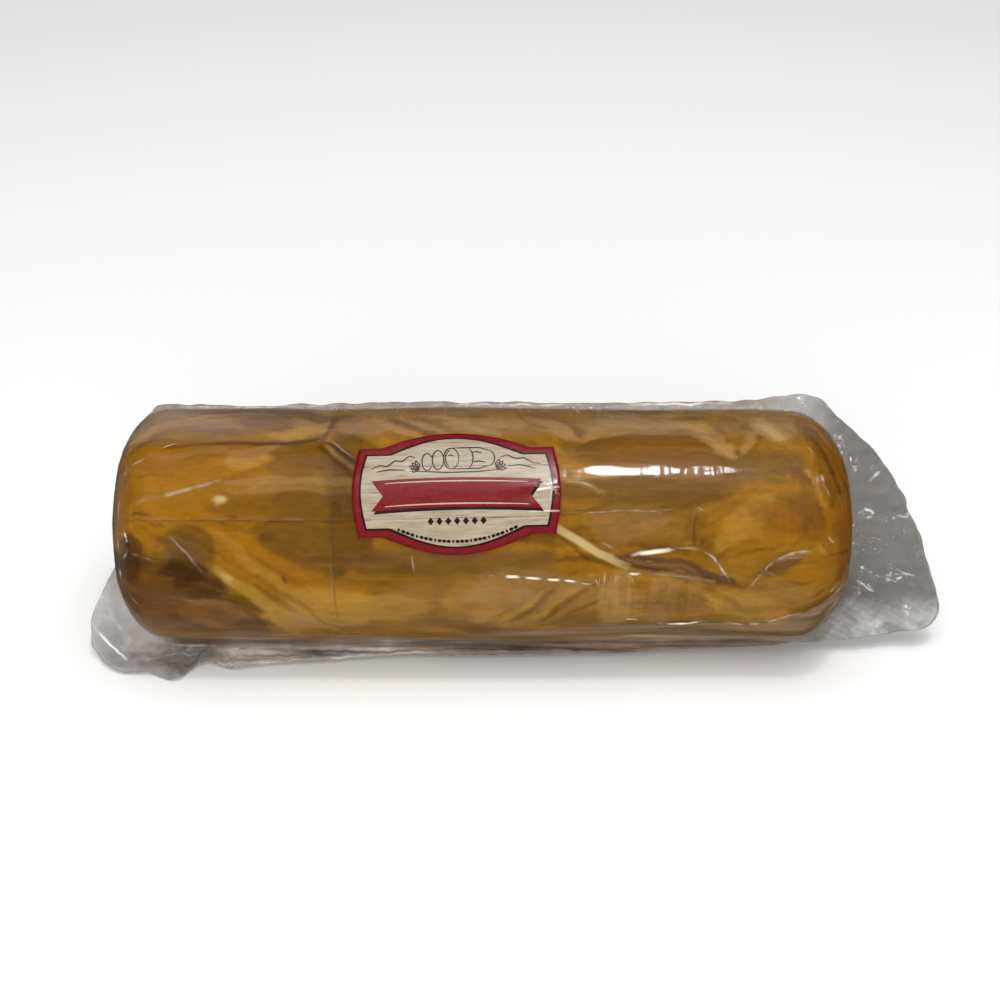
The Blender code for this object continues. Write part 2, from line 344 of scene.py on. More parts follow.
# The strokes of the smoke's tones on the front; some, where marked, are painted sheen and highlight.
# Each: tone, half width and softness in mm, which side of its route is crisp (1 the left, -1 the
# right, 0 neither), strength, and its route in (mm, degrees).
FRONT_STROKES = (
    # the left end, above the long seam
    ("tan", 9, 6, 0, 0.6, (-138, 93), (-100, 91), (-66, 90)),
    # the film's haze over the cap, with a painted highlight: a pale streak of reflection
    ("sand", 1.4, 3, 0, 0.6, (-142, 86), (-128, 94), (-104, 101)),
    ("bark", 3, 5, 0, 0.6, (-136, 82), (-118, 88), (-102, 90)),
    ("chestnut", 4.5, 4, 0, 0.7, (-98, 99), (-87, 94), (-76, 90)),
    ("chestnut", 3, 4, 0, 0.6, (-132, 84), (-112, 86), (-92, 86)),
    ("bark", 2, 4, 0, 0.5, (-124, 77), (-104, 77), (-88, 76)),
    ("butter", 2.6, 3, -1, 0.7, (-86, 84), (-74, 84.5), (-66, 92), (-63, 101)),
    ("amber", 12, 7, 0, 0.85, (-140, 70), (-110, 70), (-74, 66)),
    ("rust", 9, 8, 0, 0.35, (-140, 71), (-106, 73), (-74, 70)),
    ("tan", 2.6, 4, 0, 0.7, (-100, 68), (-90, 74), (-76, 76.5)),
    ("butter", 1.1, 2.5, 0, 0.6, (-114, 60), (-101, 65), (-84, 68)),
    ("chestnut", 5, 5, 0, 0.65, (-82, 71), (-68, 73), (-52, 66)),
    ("bark", 4.5, 5, 0, 0.6, (-84, 63), (-70, 63), (-50, 60)),
    ("sand", 1.1, 1.4, 0, 0.8, (-64, 79), (-57, 70), (-48, 59)),
    ("umber", 0.7, 1.4, 0, 0.6, (-66, 76), (-59, 67), (-51, 57)),
    ("tan", 1.2, 2, 0, 0.5, (-128, 71), (-112, 74), (-98, 73)),
    # the bands between it and the fine line below
    ("gold", 3.6, 3, 0, 0.9, (-138, 55), (-120, 59), (-98, 62)),
    ("rust", 3, 4, 0, 0.6, (-141, 62), (-141, 45), (-140, 36)),
    ("amber", 1.6, 2, 0, 0.7, (-134, 50), (-116, 53), (-98, 58)),
    ("gold", 4.6, 2.6, 0, 0.95, (-131, 45), (-108, 46), (-84, 46)),
    ("olive", 3.5, 6, 0, 0.6, (-104, 45), (-70, 45.5), (-40, 43)),
    ("olive", 4.5, 4.5, 0, 0.75, (-80, 46), (-62, 45), (-36, 43)),
    # painted sheen: two pale bands of soft reflection on the film over these bands
    ("tan", 1.3, 1.6, 0, 0.7, (-100, 57), (-80, 56.5), (-58, 56)),
    ("tan", 0.8, 1.5, 0, 0.5, (-100, 52), (-75, 52.5), (-50, 51)),
    ("cream", 0, 3.4, 0, 0.95, (-102, 48.2), (-101, 48.2)),
    ("umber", 5, 8, 0, 0.55, (-54, 94), (-52, 62), (-52, 34), (-55, 8)),
    # painted sheen, running on from the pale bands above
    ("tan", 0.8, 1.5, 0, 0.4, (-62, 56), (-48, 55.5)),
    # the curd that flows down to the right from there
    ("gold", 4, 4, 0, 0.7, (-139, 33), (-127, 27)),
    ("gold", 7, 5, 0, 0.95, (-112, 36), (-96, 24), (-82, 12), (-66, 3), (-48, 0)),
    ("chestnut", 7, 6, 0, 0.8, (-86, 33), (-66, 26), (-44, 22)),
    ("gold", 1.6, 2.5, 0, 0.6, (-90, 28), (-74, 13), (-56, 3)),
    ("butter", 10, 8, 0, 0.95, (-86, -14), (-68, -12), (-46, -12)),
    ("sand", 2.5, 4, 0, 0.5, (-90, -4), (-78, -12), (-68, -22)),
    ("butter", 2.2, 2.5, 0, 0.85, (-105, 16), (-100, 10), (-92, 2), (-84, -6), (-78, -17), (-75, -32)),
    ("cream", 0, 3, 0, 0.6, (-101, 12), (-99, 10)),
    ("butter", 1.4, 2.6, 0, 0.5, (-96, 18), (-80, 5), (-68, -9), (-59, -28)),
    ("butter", 1.2, 2.5, 0, 0.4, (-106, 33), (-94, 21), (-82, 10)),
    ("chestnut", 0.7, 1.5, 0, 0.4, (-98, 19), (-84, 6), (-72, -6), (-63, -24)),
    ("chestnut", 0.6, 1.4, 0, 0.3, (-92, 24), (-80, 12), (-68, 1)),
    ("olive", 0.7, 1.6, 0, 0.35, (-90, 6), (-82, -2), (-75, -11)),
    # the smoked patches at the lower left
    ("bark", 14, 4, 1, 0.85, (-152, -14), (-120, -14), (-104, -18), (-88, -37)),
    ("rust", 3, 5, 0, 0.4, (-134, -7), (-118, -12), (-106, -22)),
    ("tan", 1.2, 3, 0, 0.3, (-118, -3), (-104, -6), (-95, -14)),
    ("plum", 2.5, 4, 0, 0.5, (-124, -22), (-112, -26)),
    ("umber", 1.4, 3, 0, 0.55, (-134, 3), (-108, 1.5), (-96, -3), (-89, -11)),
    ("tan", 2, 4, 0, 0.35, (-116, -20), (-104, -26)),
    ("chestnut", 6, 4, 0, 0.85, (-124, 29), (-114, 27), (-107, 19)),
    ("bark", 7, 4, 0, 0.8, (-121, 27), (-116, 17), (-111, 9)),
    ("chestnut", 6, 5, 0, 0.85, (-154, 10), (-134, 11), (-114, 10)),
    ("umber", 4.5, 5, 0, 0.85, (-128, 8), (-116, 10), (-103, 4)),
    ("umber", 4, 6, 0, 0.5, (-146, 12), (-132, 11), (-120, 10)),
    ("rust", 2.2, 4, 0, 0.35, (-138, 12), (-130, 8), (-122, 5)),
    ("umber", 3, 4, 0, 0.6, (-121, 18), (-115, 14), (-109, 9)),
    ("umber", 2.2, 3, 0, 0.85, (-141, 27), (-142, 6)),
    ("umber", 3, 4, 0, 0.75, (-138, 29), (-137, 18), (-138, 6)),
    ("plum", 4, 5, 0, 0.6, (-144, -3), (-118, -5)),
    ("plum", 3, 4, 0, 0.45, (-143, 10), (-141, -8), (-138, -22)),
    ("umber", 1.4, 3, 0, 0.5, (-127, -14), (-122, -19)),
    ("umber", 2.4, 5, 0, 0.5, (-98, -24), (-88, -20)),
    # below the label
    ("amber", 8, 7, 0, 0.7, (-28, 13), (0, 13), (28, 14)),
    ("gold", 4.6, 3.5, 0, 0.6, (-54, 9), (-42, 7), (-28, 5)),
    ("chestnut", 3, 5, 0, 0.35, (-50, 9), (-30, 7), (-12, 7)),
    ("bark", 3.5, 5, 0, 0.7, (-52, 19), (-30, 18), (0, 17), (26, 19)),
    ("chestnut", 3, 4, 0, 0.6, (-50, 18), (-38, 16), (-28, 13)),
    ("butter", 5, 5, 0, 0.85, (-56, -6), (-42, -9), (-22, -7)),
    ("butter", 3, 4, 0, 0.6, (-16, -4), (-4, -7), (8, -8)),
    ("sand", 3, 5, 0, 0.45, (-6, 0), (8, -2), (20, -1)),
    ("butter", 2.5, 4, 0, 0.5, (-42, -13), (-28, -16)),
    ("plum", 1.0, 3, 0, 0.3, (-19, 8), (-19, -4), (-22, -18)),
    ("gold", 2, 4, 0, 0.45, (-13, 5), (-7, -4), (-5, -14)),
    ("butter", 2.4, 3, 0, 0.8, (6, 0), (2, -8), (-3, -19)),
    ("bark", 1.5, 5, 0, 0.7, (-22, -17), (-12, -21)),
    ("umber", 1.6, 5, 0, 0.5, (-8, -24), (4, -24)),
    ("bark", 2, 6, 0, 0.6, (-4, -27), (12, -28)),
    # painted sheen: pale tan veils of soft reflection on the film below the label
    ("tan", 7, 6, 0, 0.7, (-4, 3), (18, 2), (38, 4)),
    ("tan", 10, 8, 0, 0.4, (-40, -5), (8, -6), (56, -4)),
    ("butter", 1.1, 1.8, 0, 0.55, (36, 4), (27, -7), (20, -17)),
    ("butter", 0.9, 1.6, 0, 0.5, (24, 2), (14, -8), (6, -17)),
    ("chestnut", 0.8, 1.4, 0, 0.6, (40, 3), (29, -8), (22, -19)),
    ("chestnut", 0.8, 1.4, 0, 0.55, (29, 3), (19, -8), (11, -18)),
    ("chestnut", 0.6, 1.4, 0, 0.5, (46, -3), (35, -11), (26, -22)),
    ("chestnut", 3, 5, 0, 0.5, (32, -20), (48, -14)),
    # above the label
    ("sand", 6, 6, 0, 0.45, (-58, 95), (-38, 92)),
    ("sand", 1.4, 2, 0, 0.7, (-45, 100), (-33, 88), (-25, 83)),
    ("chestnut", 1.0, 1.5, 0, 0.65, (-39, 101), (-27, 89), (-19, 84)),
    ("sand", 1.2, 1.5, 0, 0.7, (-34, 101), (-22, 89), (-14, 85)),
    ("chestnut", 0.9, 2, 0, 0.5, (-28, 101), (-16, 90)),
    ("sand", 5, 5, 0, 0.55, (-14, 93), (16, 95)),
    ("sand", 1.4, 2, 0, 0.7, (-20, 103), (-6, 92), (6, 84)),
    ("sand", 2.2, 3, 0, 0.6, (18, 101), (30, 90), (38, 79)),
    ("chestnut", 1.0, 1.6, 0, 0.75, (32, 98), (37, 90), (41, 81)),
    ("sand", 2, 3, 0, 0.5, (50, 98), (45, 88), (42, 77)),
    ("olive", 3, 3, 0, 0.6, (32, 79), (38, 72), (48, 67)),
    # the smooth dark lens at the upper right, and the pale fork beside it
    ("tan", 8, 6, 0, 0.7, (42, 94), (62, 94), (78, 96)),
    ("sand", 2.5, 4, 0, 0.5, (48, 97), (66, 96), (82, 92)),
    ("olive", 8.5, 1.6, 1, 0.92, (38, 72), (60, 75.5), (80, 75), (99, 64)),
    ("rust", 5, 5, 0, 0.3, (46, 70), (66, 72), (88, 68)),
    ("bark", 5, 6, 0, 0.5, (60, 62), (84, 64), (100, 62)),
    ("chestnut", 4, 6, 0, 0.45, (96, 58), (118, 56), (134, 54)),
    ("chestnut", 5, 5, 0, 0.6, (94, 66), (114, 68), (128, 64)),
    ("sand", 2.2, 3.5, 0, 0.65, (74, 103), (86, 88), (93, 78), (100, 69)),
    ("rust", 3.2, 2.2, 0, 0.6, (98, 102), (99, 90), (101, 78)),
    ("sand", 1.6, 3, 0, 0.5, (114, 102), (108, 87), (102, 71)),
    ("sand", 4, 6, 0, 0.65, (112, 99), (115, 90), (120, 81)),
    ("cream", 1.0, 3, 0, 0.5, (112, 96), (116, 88), (119, 82)),
    ("chestnut", 2.6, 3, 0, 0.75, (127, 100), (131, 88), (134, 74)),
    ("tan", 1.4, 2.5, 0, 0.6, (121, 98), (125, 84)),
    # the right end
    ("chestnut", 4, 4, 0, 0.85, (28, 52), (60, 53), (98, 52)),
    ("tan", 0.7, 1.2, 0, 0.6, (32, 57.5), (40, 55), (47, 51)),
    ("bark", 6, 6, 0, 0.35, (48, 31), (80, 31)),
    ("chestnut", 4, 5, 0, 0.5, (44, 44), (84, 46)),
    ("chestnut", 4, 6, 0, 0.55, (80, 38), (88, 30), (92, 22)),
    ("tan", 4, 6, 0, 0.5, (42, 36), (70, 38)),
    ("amber", 12, 6, 0, 0.75, (88, 32), (106, 42), (130, 50)),
    ("chestnut", 6, 7, 0, 0.35, (84, 55), (100, 56), (116, 53)),
    ("gold", 2.2, 3, 0, 0.7, (96, 48), (106, 52), (122, 55)),
    ("butter", 3.5, 5, 0, 0.5, (92, 28), (104, 40), (112, 50)),
    ("chestnut", 4, 7, 0, 0.4, (107, 43), (121, 40), (136, 35)),
    ("rust", 5, 6, 0, 0.6, (112, 42), (122, 38), (132, 34)),
    ("chestnut", 4, 5, 0, 0.5, (118, 48), (126, 44), (134, 38)),
    ("chestnut", 1.4, 3, 0, 0.5, (124, 58), (126, 48), (125, 34)),
    ("rust", 4, 3, 0, 0.8, (134, 88), (140, 66), (143, 40), (143, 4)),
    ("chestnut", 0.7, 1.2, 0, 0.7, (127, 95), (134, 80), (139, 64)),
    ("chestnut", 0.7, 1.2, 0, 0.6, (130, 96), (138, 80), (143, 62)),
    ("umber", 0.5, 1.2, 0, 0.5, (131, 86), (137, 70), (140, 54)),
    ("gold", 1.1, 2, 0, 0.8, (126, 78), (131, 62), (134, 46), (137, 20)),
    ("sand", 0.5, 1.4, 0, 0.5, (128, 62), (131, 50), (133, 40)),
    ("chestnut", 1.0, 1.8, 0, 0.6, (131, 78), (135, 62), (137, 44)),
    ("plum", 3.0, 3.2, 1, 0.88, (48, 19), (62, 18), (76, 14.5), (100, 6)),
    ("tan", 0.5, 1.0, 0, 0.4, (56, 18), (70, 16), (84, 12)),
    ("tan", 0.6, 1.2, 0, 0.5, (54, 13.5), (74, 11), (92, 6.5)),
    ("plum", 2, 3.5, 0, 0.6, (111, 11), (117, 14), (123, 18)),
    ("bark", 0.8, 2, 0, 0.5, (112, 17), (119, 21)),
    ("gold", 2.6, 3, 0, 0.7, (120, 10), (136, 12)),
    ("sand", 5, 6, 0, 0.5, (54, 10), (53, -20)),
    ("tan", 6, 6, 0, 0.65, (70, 9), (69, -20)),
    ("tan", 4, 6, 0, 0.4, (84, 7), (85, -16)),
    ("bark", 5, 6, 0, 0.3, (58, -4), (86, -6)),
    ("butter", 6, 6, 0, 0.75, (90, -2), (104, -8), (120, -16)),
    ("tan", 5, 7, 0, 0.4, (98, -4), (116, -2), (130, -2)),
    ("chestnut", 0.8, 2, 0, 0.4, (88, 4), (100, -4), (106, -14)),
    ("chestnut", 4, 5, 0, 0.65, (44, -26), (70, -28), (100, -29)),
    ("chestnut", 6, 5, 0, 0.65, (124, -24), (142, -4)),
)
# The seams between lobes of curd. Each: half width in mm, strength, and its route
FRONT_SEAMS = (
    (
        1.2, 0.9, (-126, 77), (-115, 80), (-102, 80.5), (-92, 79.5), (-80, 79), (-72, 80),
        (-64, 83), (-61, 92), (-61, 106),
    ),
    (1.1, 0.9, (-65, 82), (-58, 75), (-50, 66), (-45, 60)),
    (0.4, 0.45, (-143, 37.5), (-100, 37.5), (-46, 37)),
    (0.5, 0.35, (-58, 38), (-58.5, 10), (-58, -26)),
    (0.7, 0.8, (-78, 11), (-77, 7)),
    (0.6, 0.5, (83.5, 42), (82, 36), (82, 29), (83.5, 23)),
    (0.6, 0.5, (134, 20), (146, 20)),
    (0.8, 0.6, (29, 31), (41, 19.5), (54, 13.5)),
    (0.5, 0.5, (54, 15.5), (70, 13), (92, 8)),
    (0.5, 0.35, (116, 8), (128, 6)),
)
WILD_STROKES = 150  # on the sides that the front's strokes leave out
WANDER = 1.6  # mm that a stroke's edge strays from its route, in long bends
WISP = 0.4  # and in short ones
BROAD_RAG = 1.8  # mm that the curd's fibres move the edge of a soft stroke
FINE_RAG = 1.0
CRISP_EDGE = 0.8  # mm that a stroke's crisp side fades over. A soft side takes softness times that
TURN_REACH = 10  # mm beside a stroke in which the fibres still bend to run with it
LENGTHWISE = 0.3  # how strongly the fibres run along the log elsewhere
BRUSH_STEPS = 15
FINE_FIBRES, BROAD_FIBRES = (1.5, 9), (4.5, 18)  # width and half length in mm


def tapered(share):
    """A stroke's width along its route: full in the middle, pointed at both ends."""
    return np.sin(math.pi * np.clip(share, 0, 1)) ** 0.5


def nearest_line(here, lines, reach):
    """Of thin lines: how far to one side each point is, in half widths, and the line's strength."""
    least = np.full(len(here), np.inf)
    offset, strength = np.full(len(here), 9.0), np.zeros(len(here))
    for half_width, power, *route in lines:
        distance, side, share, _ = from_route(here, route)
        nearer = distance < least
        least[nearer] = distance[nearer]
        offset[nearer] = (side * distance)[nearer] / half_width
        strength[nearer] = (power * tapered(share) * (distance < reach))[nearer]
    return offset, strength


def drawn(chance, *ranges):
    """One random number from each range."""
    return tuple(chance.uniform(low, high) for low, high in ranges)


def wild_route(chance, alongs, ups, lengths, bend):
    """A short bent route somewhere on the log, in a range along it and between two angles."""
    along, up, length = drawn(chance, alongs, ups, lengths)
    turn = chance.normal(0, 0.7)
    reach = as_degrees(length * math.sin(turn))
    end = along + length * math.cos(turn)
    middle = ((along + end) / 2, up + reach / 2 + chance.normal(0, bend))
    return (along, up), middle, (end, up + reach)


def brushed(here, run, fibres, layer):
    """Noise smeared along the curd's run into fibres of (width, half length). About -1 to 1."""
    width, half_length = fibres
    total = np.zeros(len(here))
    for step in np.linspace(-half_length, half_length, BRUSH_STEPS):
        level = np.full(len(here), layer)
        total += noise_at(np.column_stack([here + run * step, level]), width)
    return np.clip(total / BRUSH_STEPS * math.sqrt(2 * half_length / width), -1.2, 1.2)


def wild_strokes(chance, count, alongs, ups):
    """That many strokes at random, in a range along the log and between two angles."""
    tones = ("butter", "gold", "amber", "rust", "tan", "olive", "chestnut", "umber")
    strokes = []
    for _ in range(count):
        look = (chance.choice(tones), *drawn(chance, (1, 6), (2, 5)))
        look += (chance.integers(-1, 2), chance.uniform(0.5, 0.9))
        strokes.append(look + wild_route(chance, alongs, ups, (18, 60), 5))
    return tuple(strokes)


def marble(here, places, strokes):
    """The tone and streak of smoked curd at each point, with the strokes laid over it."""
    bends = np.stack([noise_at(places, 0.014, shift) for shift in (20.0, 31.0)], -1)
    wisps = np.stack([noise_at(places, 0.004, shift) for shift in (40.0, 51.0)], -1)
    strayed = here + WANDER * bends + WISP * wisps

    traced = []
    grain = np.tile([LENGTHWISE, 0.0], (len(here), 1))
    for _, half_width, softness, _, _, *route in strokes:
        corners = np.array(route) * [1, RADIUS_MM * math.pi / 180]
        reach = half_width + softness + TURN_REACH
        inside = (strayed > corners.min(axis=0) - reach) & (strayed < corners.max(axis=0) + reach)
        near = np.flatnonzero(inside.all(axis=1))
        distance, side, share, run = from_route(strayed[near], route)
        traced.append((near, distance, side, share))
        pull = 0.8 * np.exp(-((distance / (half_width + TURN_REACH / 2)) ** 2))[:, None]
        doubled = np.stack([run[:, 0] ** 2 - run[:, 1] ** 2, 2 * run[:, 0] * run[:, 1]], -1)
        grain[near] = grain[near] * (1 - pull) + doubled * pull
    drift = np.arctan2(grain[:, 1], grain[:, 0] + LENGTHWISE) / 2 + 0.3 * noise_at(places, 0.02, 77.0)
    run = np.stack([np.cos(drift), np.sin(drift)], -1)
    streak = brushed(here + wisps, run, FINE_FIBRES, 7.0)
    broad = brushed(here + wisps, run, BROAD_FIBRES, 19.0)

    flow = 1.5 * (broad + 0.3 * streak)
    dark, light = 0.8 * smooth_step(-flow - 0.2)[:, None], 0.5 * smooth_step(flow - 0.2)[:, None]
    tone = TONES["amber"] * (1 - dark) + TONES["chestnut"] * dark
    tone = tone * (1 - light) + TONES["butter"] * light
    ragged = BROAD_RAG * broad + FINE_RAG * streak
    for (name, half_width, softness, crisp_side, strength, *_), trace in zip(strokes, traced):
        near, distance, side, share = trace
        crisp = (side == crisp_side) & (crisp_side != 0)
        soft = CRISP_EDGE * np.where(crisp, 1, softness)
        edge = half_width * tapered(share) + soft - distance + ragged[near] * np.minimum(soft / 3, 1)
        taken = strength * smooth_step(edge / soft)[:, None]
        tone[near] = tone[near] * (1 - taken) + TONES[name] * taken
    return tone, streak


cheese, log_x, log_angle, ring_radius = add_log("smoked_cheese")
ring_share = ring_radius / LOG_RADIUS  # 0 in the middle of an end face and 1 on the log's side
towards_face = smooth_step(ring_share)
log_radius = ring_radius + log_relief(log_x, log_angle) * towards_face
skin_places = around_axis(log_x, log_angle, log_radius)
stroke_chance = np.random.default_rng(62)
SIDE_ALONGS, BACK_UPS = (-146, 146), (108, 262)
back_strokes = wild_strokes(stroke_chance, WILD_STROKES, SIDE_ALONGS, BACK_UPS)
side_strokes = back_strokes + FRONT_STROKES
skin_tone, skin_streak = marble(unrolled(log_x, log_angle), skin_places, side_strokes)
# The end faces are brushed flat, not round the log: their sheets lie 300 mm to either side
FACE_STROKES = 26
END_SHEET = 300
FACE_EDGE = 0.82  # of the log's radius
ends = np.flatnonzero(ring_share < FACE_EDGE)
end_sheet = skin_places[:, 1:] * 1000 + np.sign(log_x)[:, None] * [END_SHEET, 0]
end_strokes = ()
for sheet in (-END_SHEET, END_SHEET):
    end_strokes += wild_strokes(stroke_chance, FACE_STROKES, (sheet - 50, sheet + 20), (-50, 50))
end_tone, end_streak = marble(end_sheet[ends], skin_places[ends], end_strokes)
facing_out = smooth_step(ring_share[ends], FACE_EDGE, FACE_EDGE - 0.25)
skin_tone[ends] += (end_tone - skin_tone[ends]) * facing_out[:, None]
skin_streak[ends] += (end_streak - skin_streak[ends]) * facing_out
STREAK_HEIGHT = 0.00004
PORE_HEIGHT = 0.00005
pores = PORE_HEIGHT * noise_at(skin_places, 0.005) + STREAK_HEIGHT * skin_streak
skin_radius = log_radius - FILM_GAP + pores * towards_face

# The sliver of pale curd beside the label, and where the film's pleats gather over the skin; their
# light and shade are painted on the skin there as stripes
CURD_RIDGE = (1.9, 1.0, (24, 38), (34, 30.5), (43, 23.5), (50, 18.5), (58, 14))
PLEAT_GATHER = ((50, 3), (62, -4), (84, -9))
GATHER_WIDTH = 11
SEAM_REACH = 4
line_place = jittered(unrolled(log_x, log_angle), skin_places, 0.35, 3, 4)
seam_offset, seam_strength = nearest_line(line_place, FRONT_SEAMS, SEAM_REACH)
ridge_offset, ridge_strength = nearest_line(line_place, (CURD_RIDGE,), SEAM_REACH)
gather = np.exp(-((from_route(line_place, PLEAT_GATHER)[0] / GATHER_WIDTH) ** 2))
keep(
    cheese,
    smoke=skin_tone,
    streak=skin_streak,
    seam_offset=seam_offset,
    seam_strength=seam_strength,
    ridge_offset=ridge_offset,
    ridge_strength=ridge_strength,
    pleated=gather,
)
close_up(cheese, in_place(around_axis(log_x, log_angle, skin_radius), 0.0007))


def fill(tree, socket, value):
    """Links a socket into the input, or sets the input's own number, vector or colour."""
    if isinstance(value, bpy.types.NodeSocket):
        tree.links.new(value, socket)
    else:
        socket.default_value = (*value, 1) if socket.type == "RGBA" else value


def set_inputs(tree, node, **inputs):
    """Fills the inputs of those names. An underscore and a number name an input by its place."""
    for name, value in inputs.items():
        key = int(name[1:]) if name[0] == "_" else name.replace("_", " ")
        fill(tree, node.inputs[key], value)


def add_node(tree, kind, **inputs):
    """A shader node of that kind with the named inputs filled."""
    node = tree.nodes.new("ShaderNode" + kind)
    set_inputs(tree, node, **inputs)
    return node


def calculated(tree, operation, *values):
    """The outcome of a Math node."""
    node = add_node(tree, "Math", **{f"_{index}": value for index, value in enumerate(values)})
    node.operation = operation
    return node.outputs[0]


def stored(tree, name, output="Fac"):
    """What the piece's mesh stores under that name."""
    node = tree.nodes.new("ShaderNodeAttribute")
    node.attribute_name = name
    return node.outputs[output]


def blended(tree, kind, share, first, second):
    """Two colours mixed by a share."""
    mix = tree.nodes.new("ShaderNodeMix")
    mix.data_type = "RGBA"
    mix.blend_type = kind
    set_inputs(tree, mix, _0=share, _6=first, _7=second)
    return mix.outputs[2]


def ranged(tree, value, low, high, to_low, to_high):
    """A value moved from one range to another, and held within it."""
    return add_node(tree, "MapRange", _0=value, _1=low, _2=high, _3=to_low, _4=to_high).outputs[0]


def new_group(name, output, **inputs):
    """A shader node group with named inputs of these kinds: its tree, its inputs and its output."""
    group = bpy.data.node_groups.new(name, "ShaderNodeTree")
    for input_name, kind in inputs.items():
        shown = input_name.replace("_", " ")
        group.interface.new_socket(shown, in_out="INPUT", socket_type="NodeSocket" + kind)
    group.interface.new_socket(output, in_out="OUTPUT", socket_type="NodeSocketFloat")
    taken_in = group.nodes.new("NodeGroupInput").outputs
    return group, taken_in, group.nodes.new("NodeGroupOutput").inputs[0]


def placed(tree, group, **inputs):
    """A group placed in a material with its own values."""
    node = tree.nodes.new("ShaderNodeGroup")
    node.node_tree = group
    set_inputs(tree, node, **inputs)
    return node.outputs[0]


# Grain that is drawn out: the fibres of the curd, the pleats of the film, the label's boards
drawn_grain, taken_in, put_out = new_group(
    "drawn_grain",
    "Grain",
    Place="Vector",
    Stretch="Vector",
    Scale="Float",
    Detail="Float",
    Roughness="Float",
    Distortion="Float",
)
grain_place = add_node(drawn_grain, "Mapping", Vector=taken_in["Place"], Scale=taken_in["Stretch"])
grain_values = {name: taken_in[name] for name in ("Scale", "Detail", "Roughness", "Distortion")}
grain = add_node(drawn_grain, "TexNoise", Vector=grain_place.outputs[0], **grain_values)
fill(drawn_grain, put_out, grain.outputs[0])

# A fine line that the mesh stores: the curd's seams, the film's painted glints
fine_line, taken_in, put_out = new_group(
    "fine_line",
    "Mask",
    Offset="Float",
    Strength="Float",
    Soft_From="Float",
    Soft_To="Float",
)
off = calculated(fine_line, "ABSOLUTE", taken_in["Offset"])
on_line = ranged(fine_line, off, taken_in["Soft From"], taken_in["Soft To"], 1, 0)
fill(fine_line, put_out, calculated(fine_line, "MULTIPLY", on_line, taken_in["Strength"]))


def grain_of(tree, place, scale, detail, distortion=0, stretch=(1, 1, 1), roughness=0.5):
    """Noise from 0 to 1, with that many lumps for each unit of place, times stretch each way."""
    return placed(
        tree,
        drawn_grain,
        Place=place,
        Stretch=stretch,
        Scale=scale,
        Detail=detail,
        Roughness=roughness,
        Distortion=distortion,
    )


def line_mask(tree, name, soft_from, soft_to):
    """The strength of the thin lines stored under that name, and 0 off them."""
    offset, strength = stored(tree, name + "_offset"), stored(tree, name + "_strength")
    return placed(
        tree,
        fine_line,
        Offset=offset,
        Strength=strength,
        Soft_From=soft_from,
        Soft_To=soft_to,
    )


def new_finish(name):
    """A material, its node tree and its Principled shader."""
    material = bpy.data.materials.new(name)
    material.use_nodes = True
    return material, material.node_tree, material.node_tree.nodes["Principled BSDF"]


def own_place(tree):
    """The piece's own coordinates in metres."""
    return tree.nodes.new("ShaderNodeTexCoord").outputs["Object"]


rind, tree, shader = new_finish("smoked_rind")
place = own_place(tree)
ALONG_LOG, ROUND_LOG = (0.4, 1, 1), (1, 0.05, 0.05)
fibres = grain_of(tree, place, 520, 4, 0.8, ALONG_LOG)
clouds = grain_of(tree, place, 140, 4, 0.5, ALONG_LOG)
pleats = grain_of(tree, place, 560, 3, 0.5, ROUND_LOG)
streak = stored(tree, "streak")
smoke = stored(tree, "smoke", "Color")
pale = blended(tree, "MIX", ranged(tree, streak, 0.1, 1.0, 0, 0.17), smoke, TONES["butter"])
dark = blended(tree, "MIX", ranged(tree, streak, -0.1, -1.0, 0, 0.18), pale, TONES["umber"])
fibre_light = ranged(tree, fibres, 0.3, 0.7, 0.9, 1.1)
cloud_light = ranged(tree, clouds, 0.3, 0.7, 0.91, 1.09)
pleat_light = ranged(tree, pleats, 0.35, 0.65, 0.88, 1.12)
shaded = blended(tree, "MULTIPLY", 1.0, dark, calculated(tree, "MULTIPLY", fibre_light, cloud_light))
# painted light and shade of the film's pleats: lighter and darker stripes where the skin is pleated
shaded = blended(tree, "MULTIPLY", stored(tree, "pleated"), shaded, pleat_light)
ridged = blended(tree, "MIX", line_mask(tree, "ridge", 0.55, 1.05), shaded, TONES["cream"])
seamed = blended(tree, "MIX", line_mask(tree, "seam", 0.0, 1.7), ridged, from_screen(58, 32, 16))
set_inputs(
    tree,
    shader,
    Base_Color=seamed,
    Roughness=ranged(tree, clouds, 0.3, 0.7, 0.36, 0.5),
    Specular_IOR_Level=0.18,
    Subsurface_Weight=0.1,
    Subsurface_Radius=(1.0, 0.5, 0.15),
    Subsurface_Scale=0.003,
    Normal=add_node(tree, "Bump", Height=fibres, Strength=0.15, Distance=0.0003).outputs[0],
)
cheese.data.materials.append(rind)
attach(cheese, "root")
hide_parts("vacuum_bag")
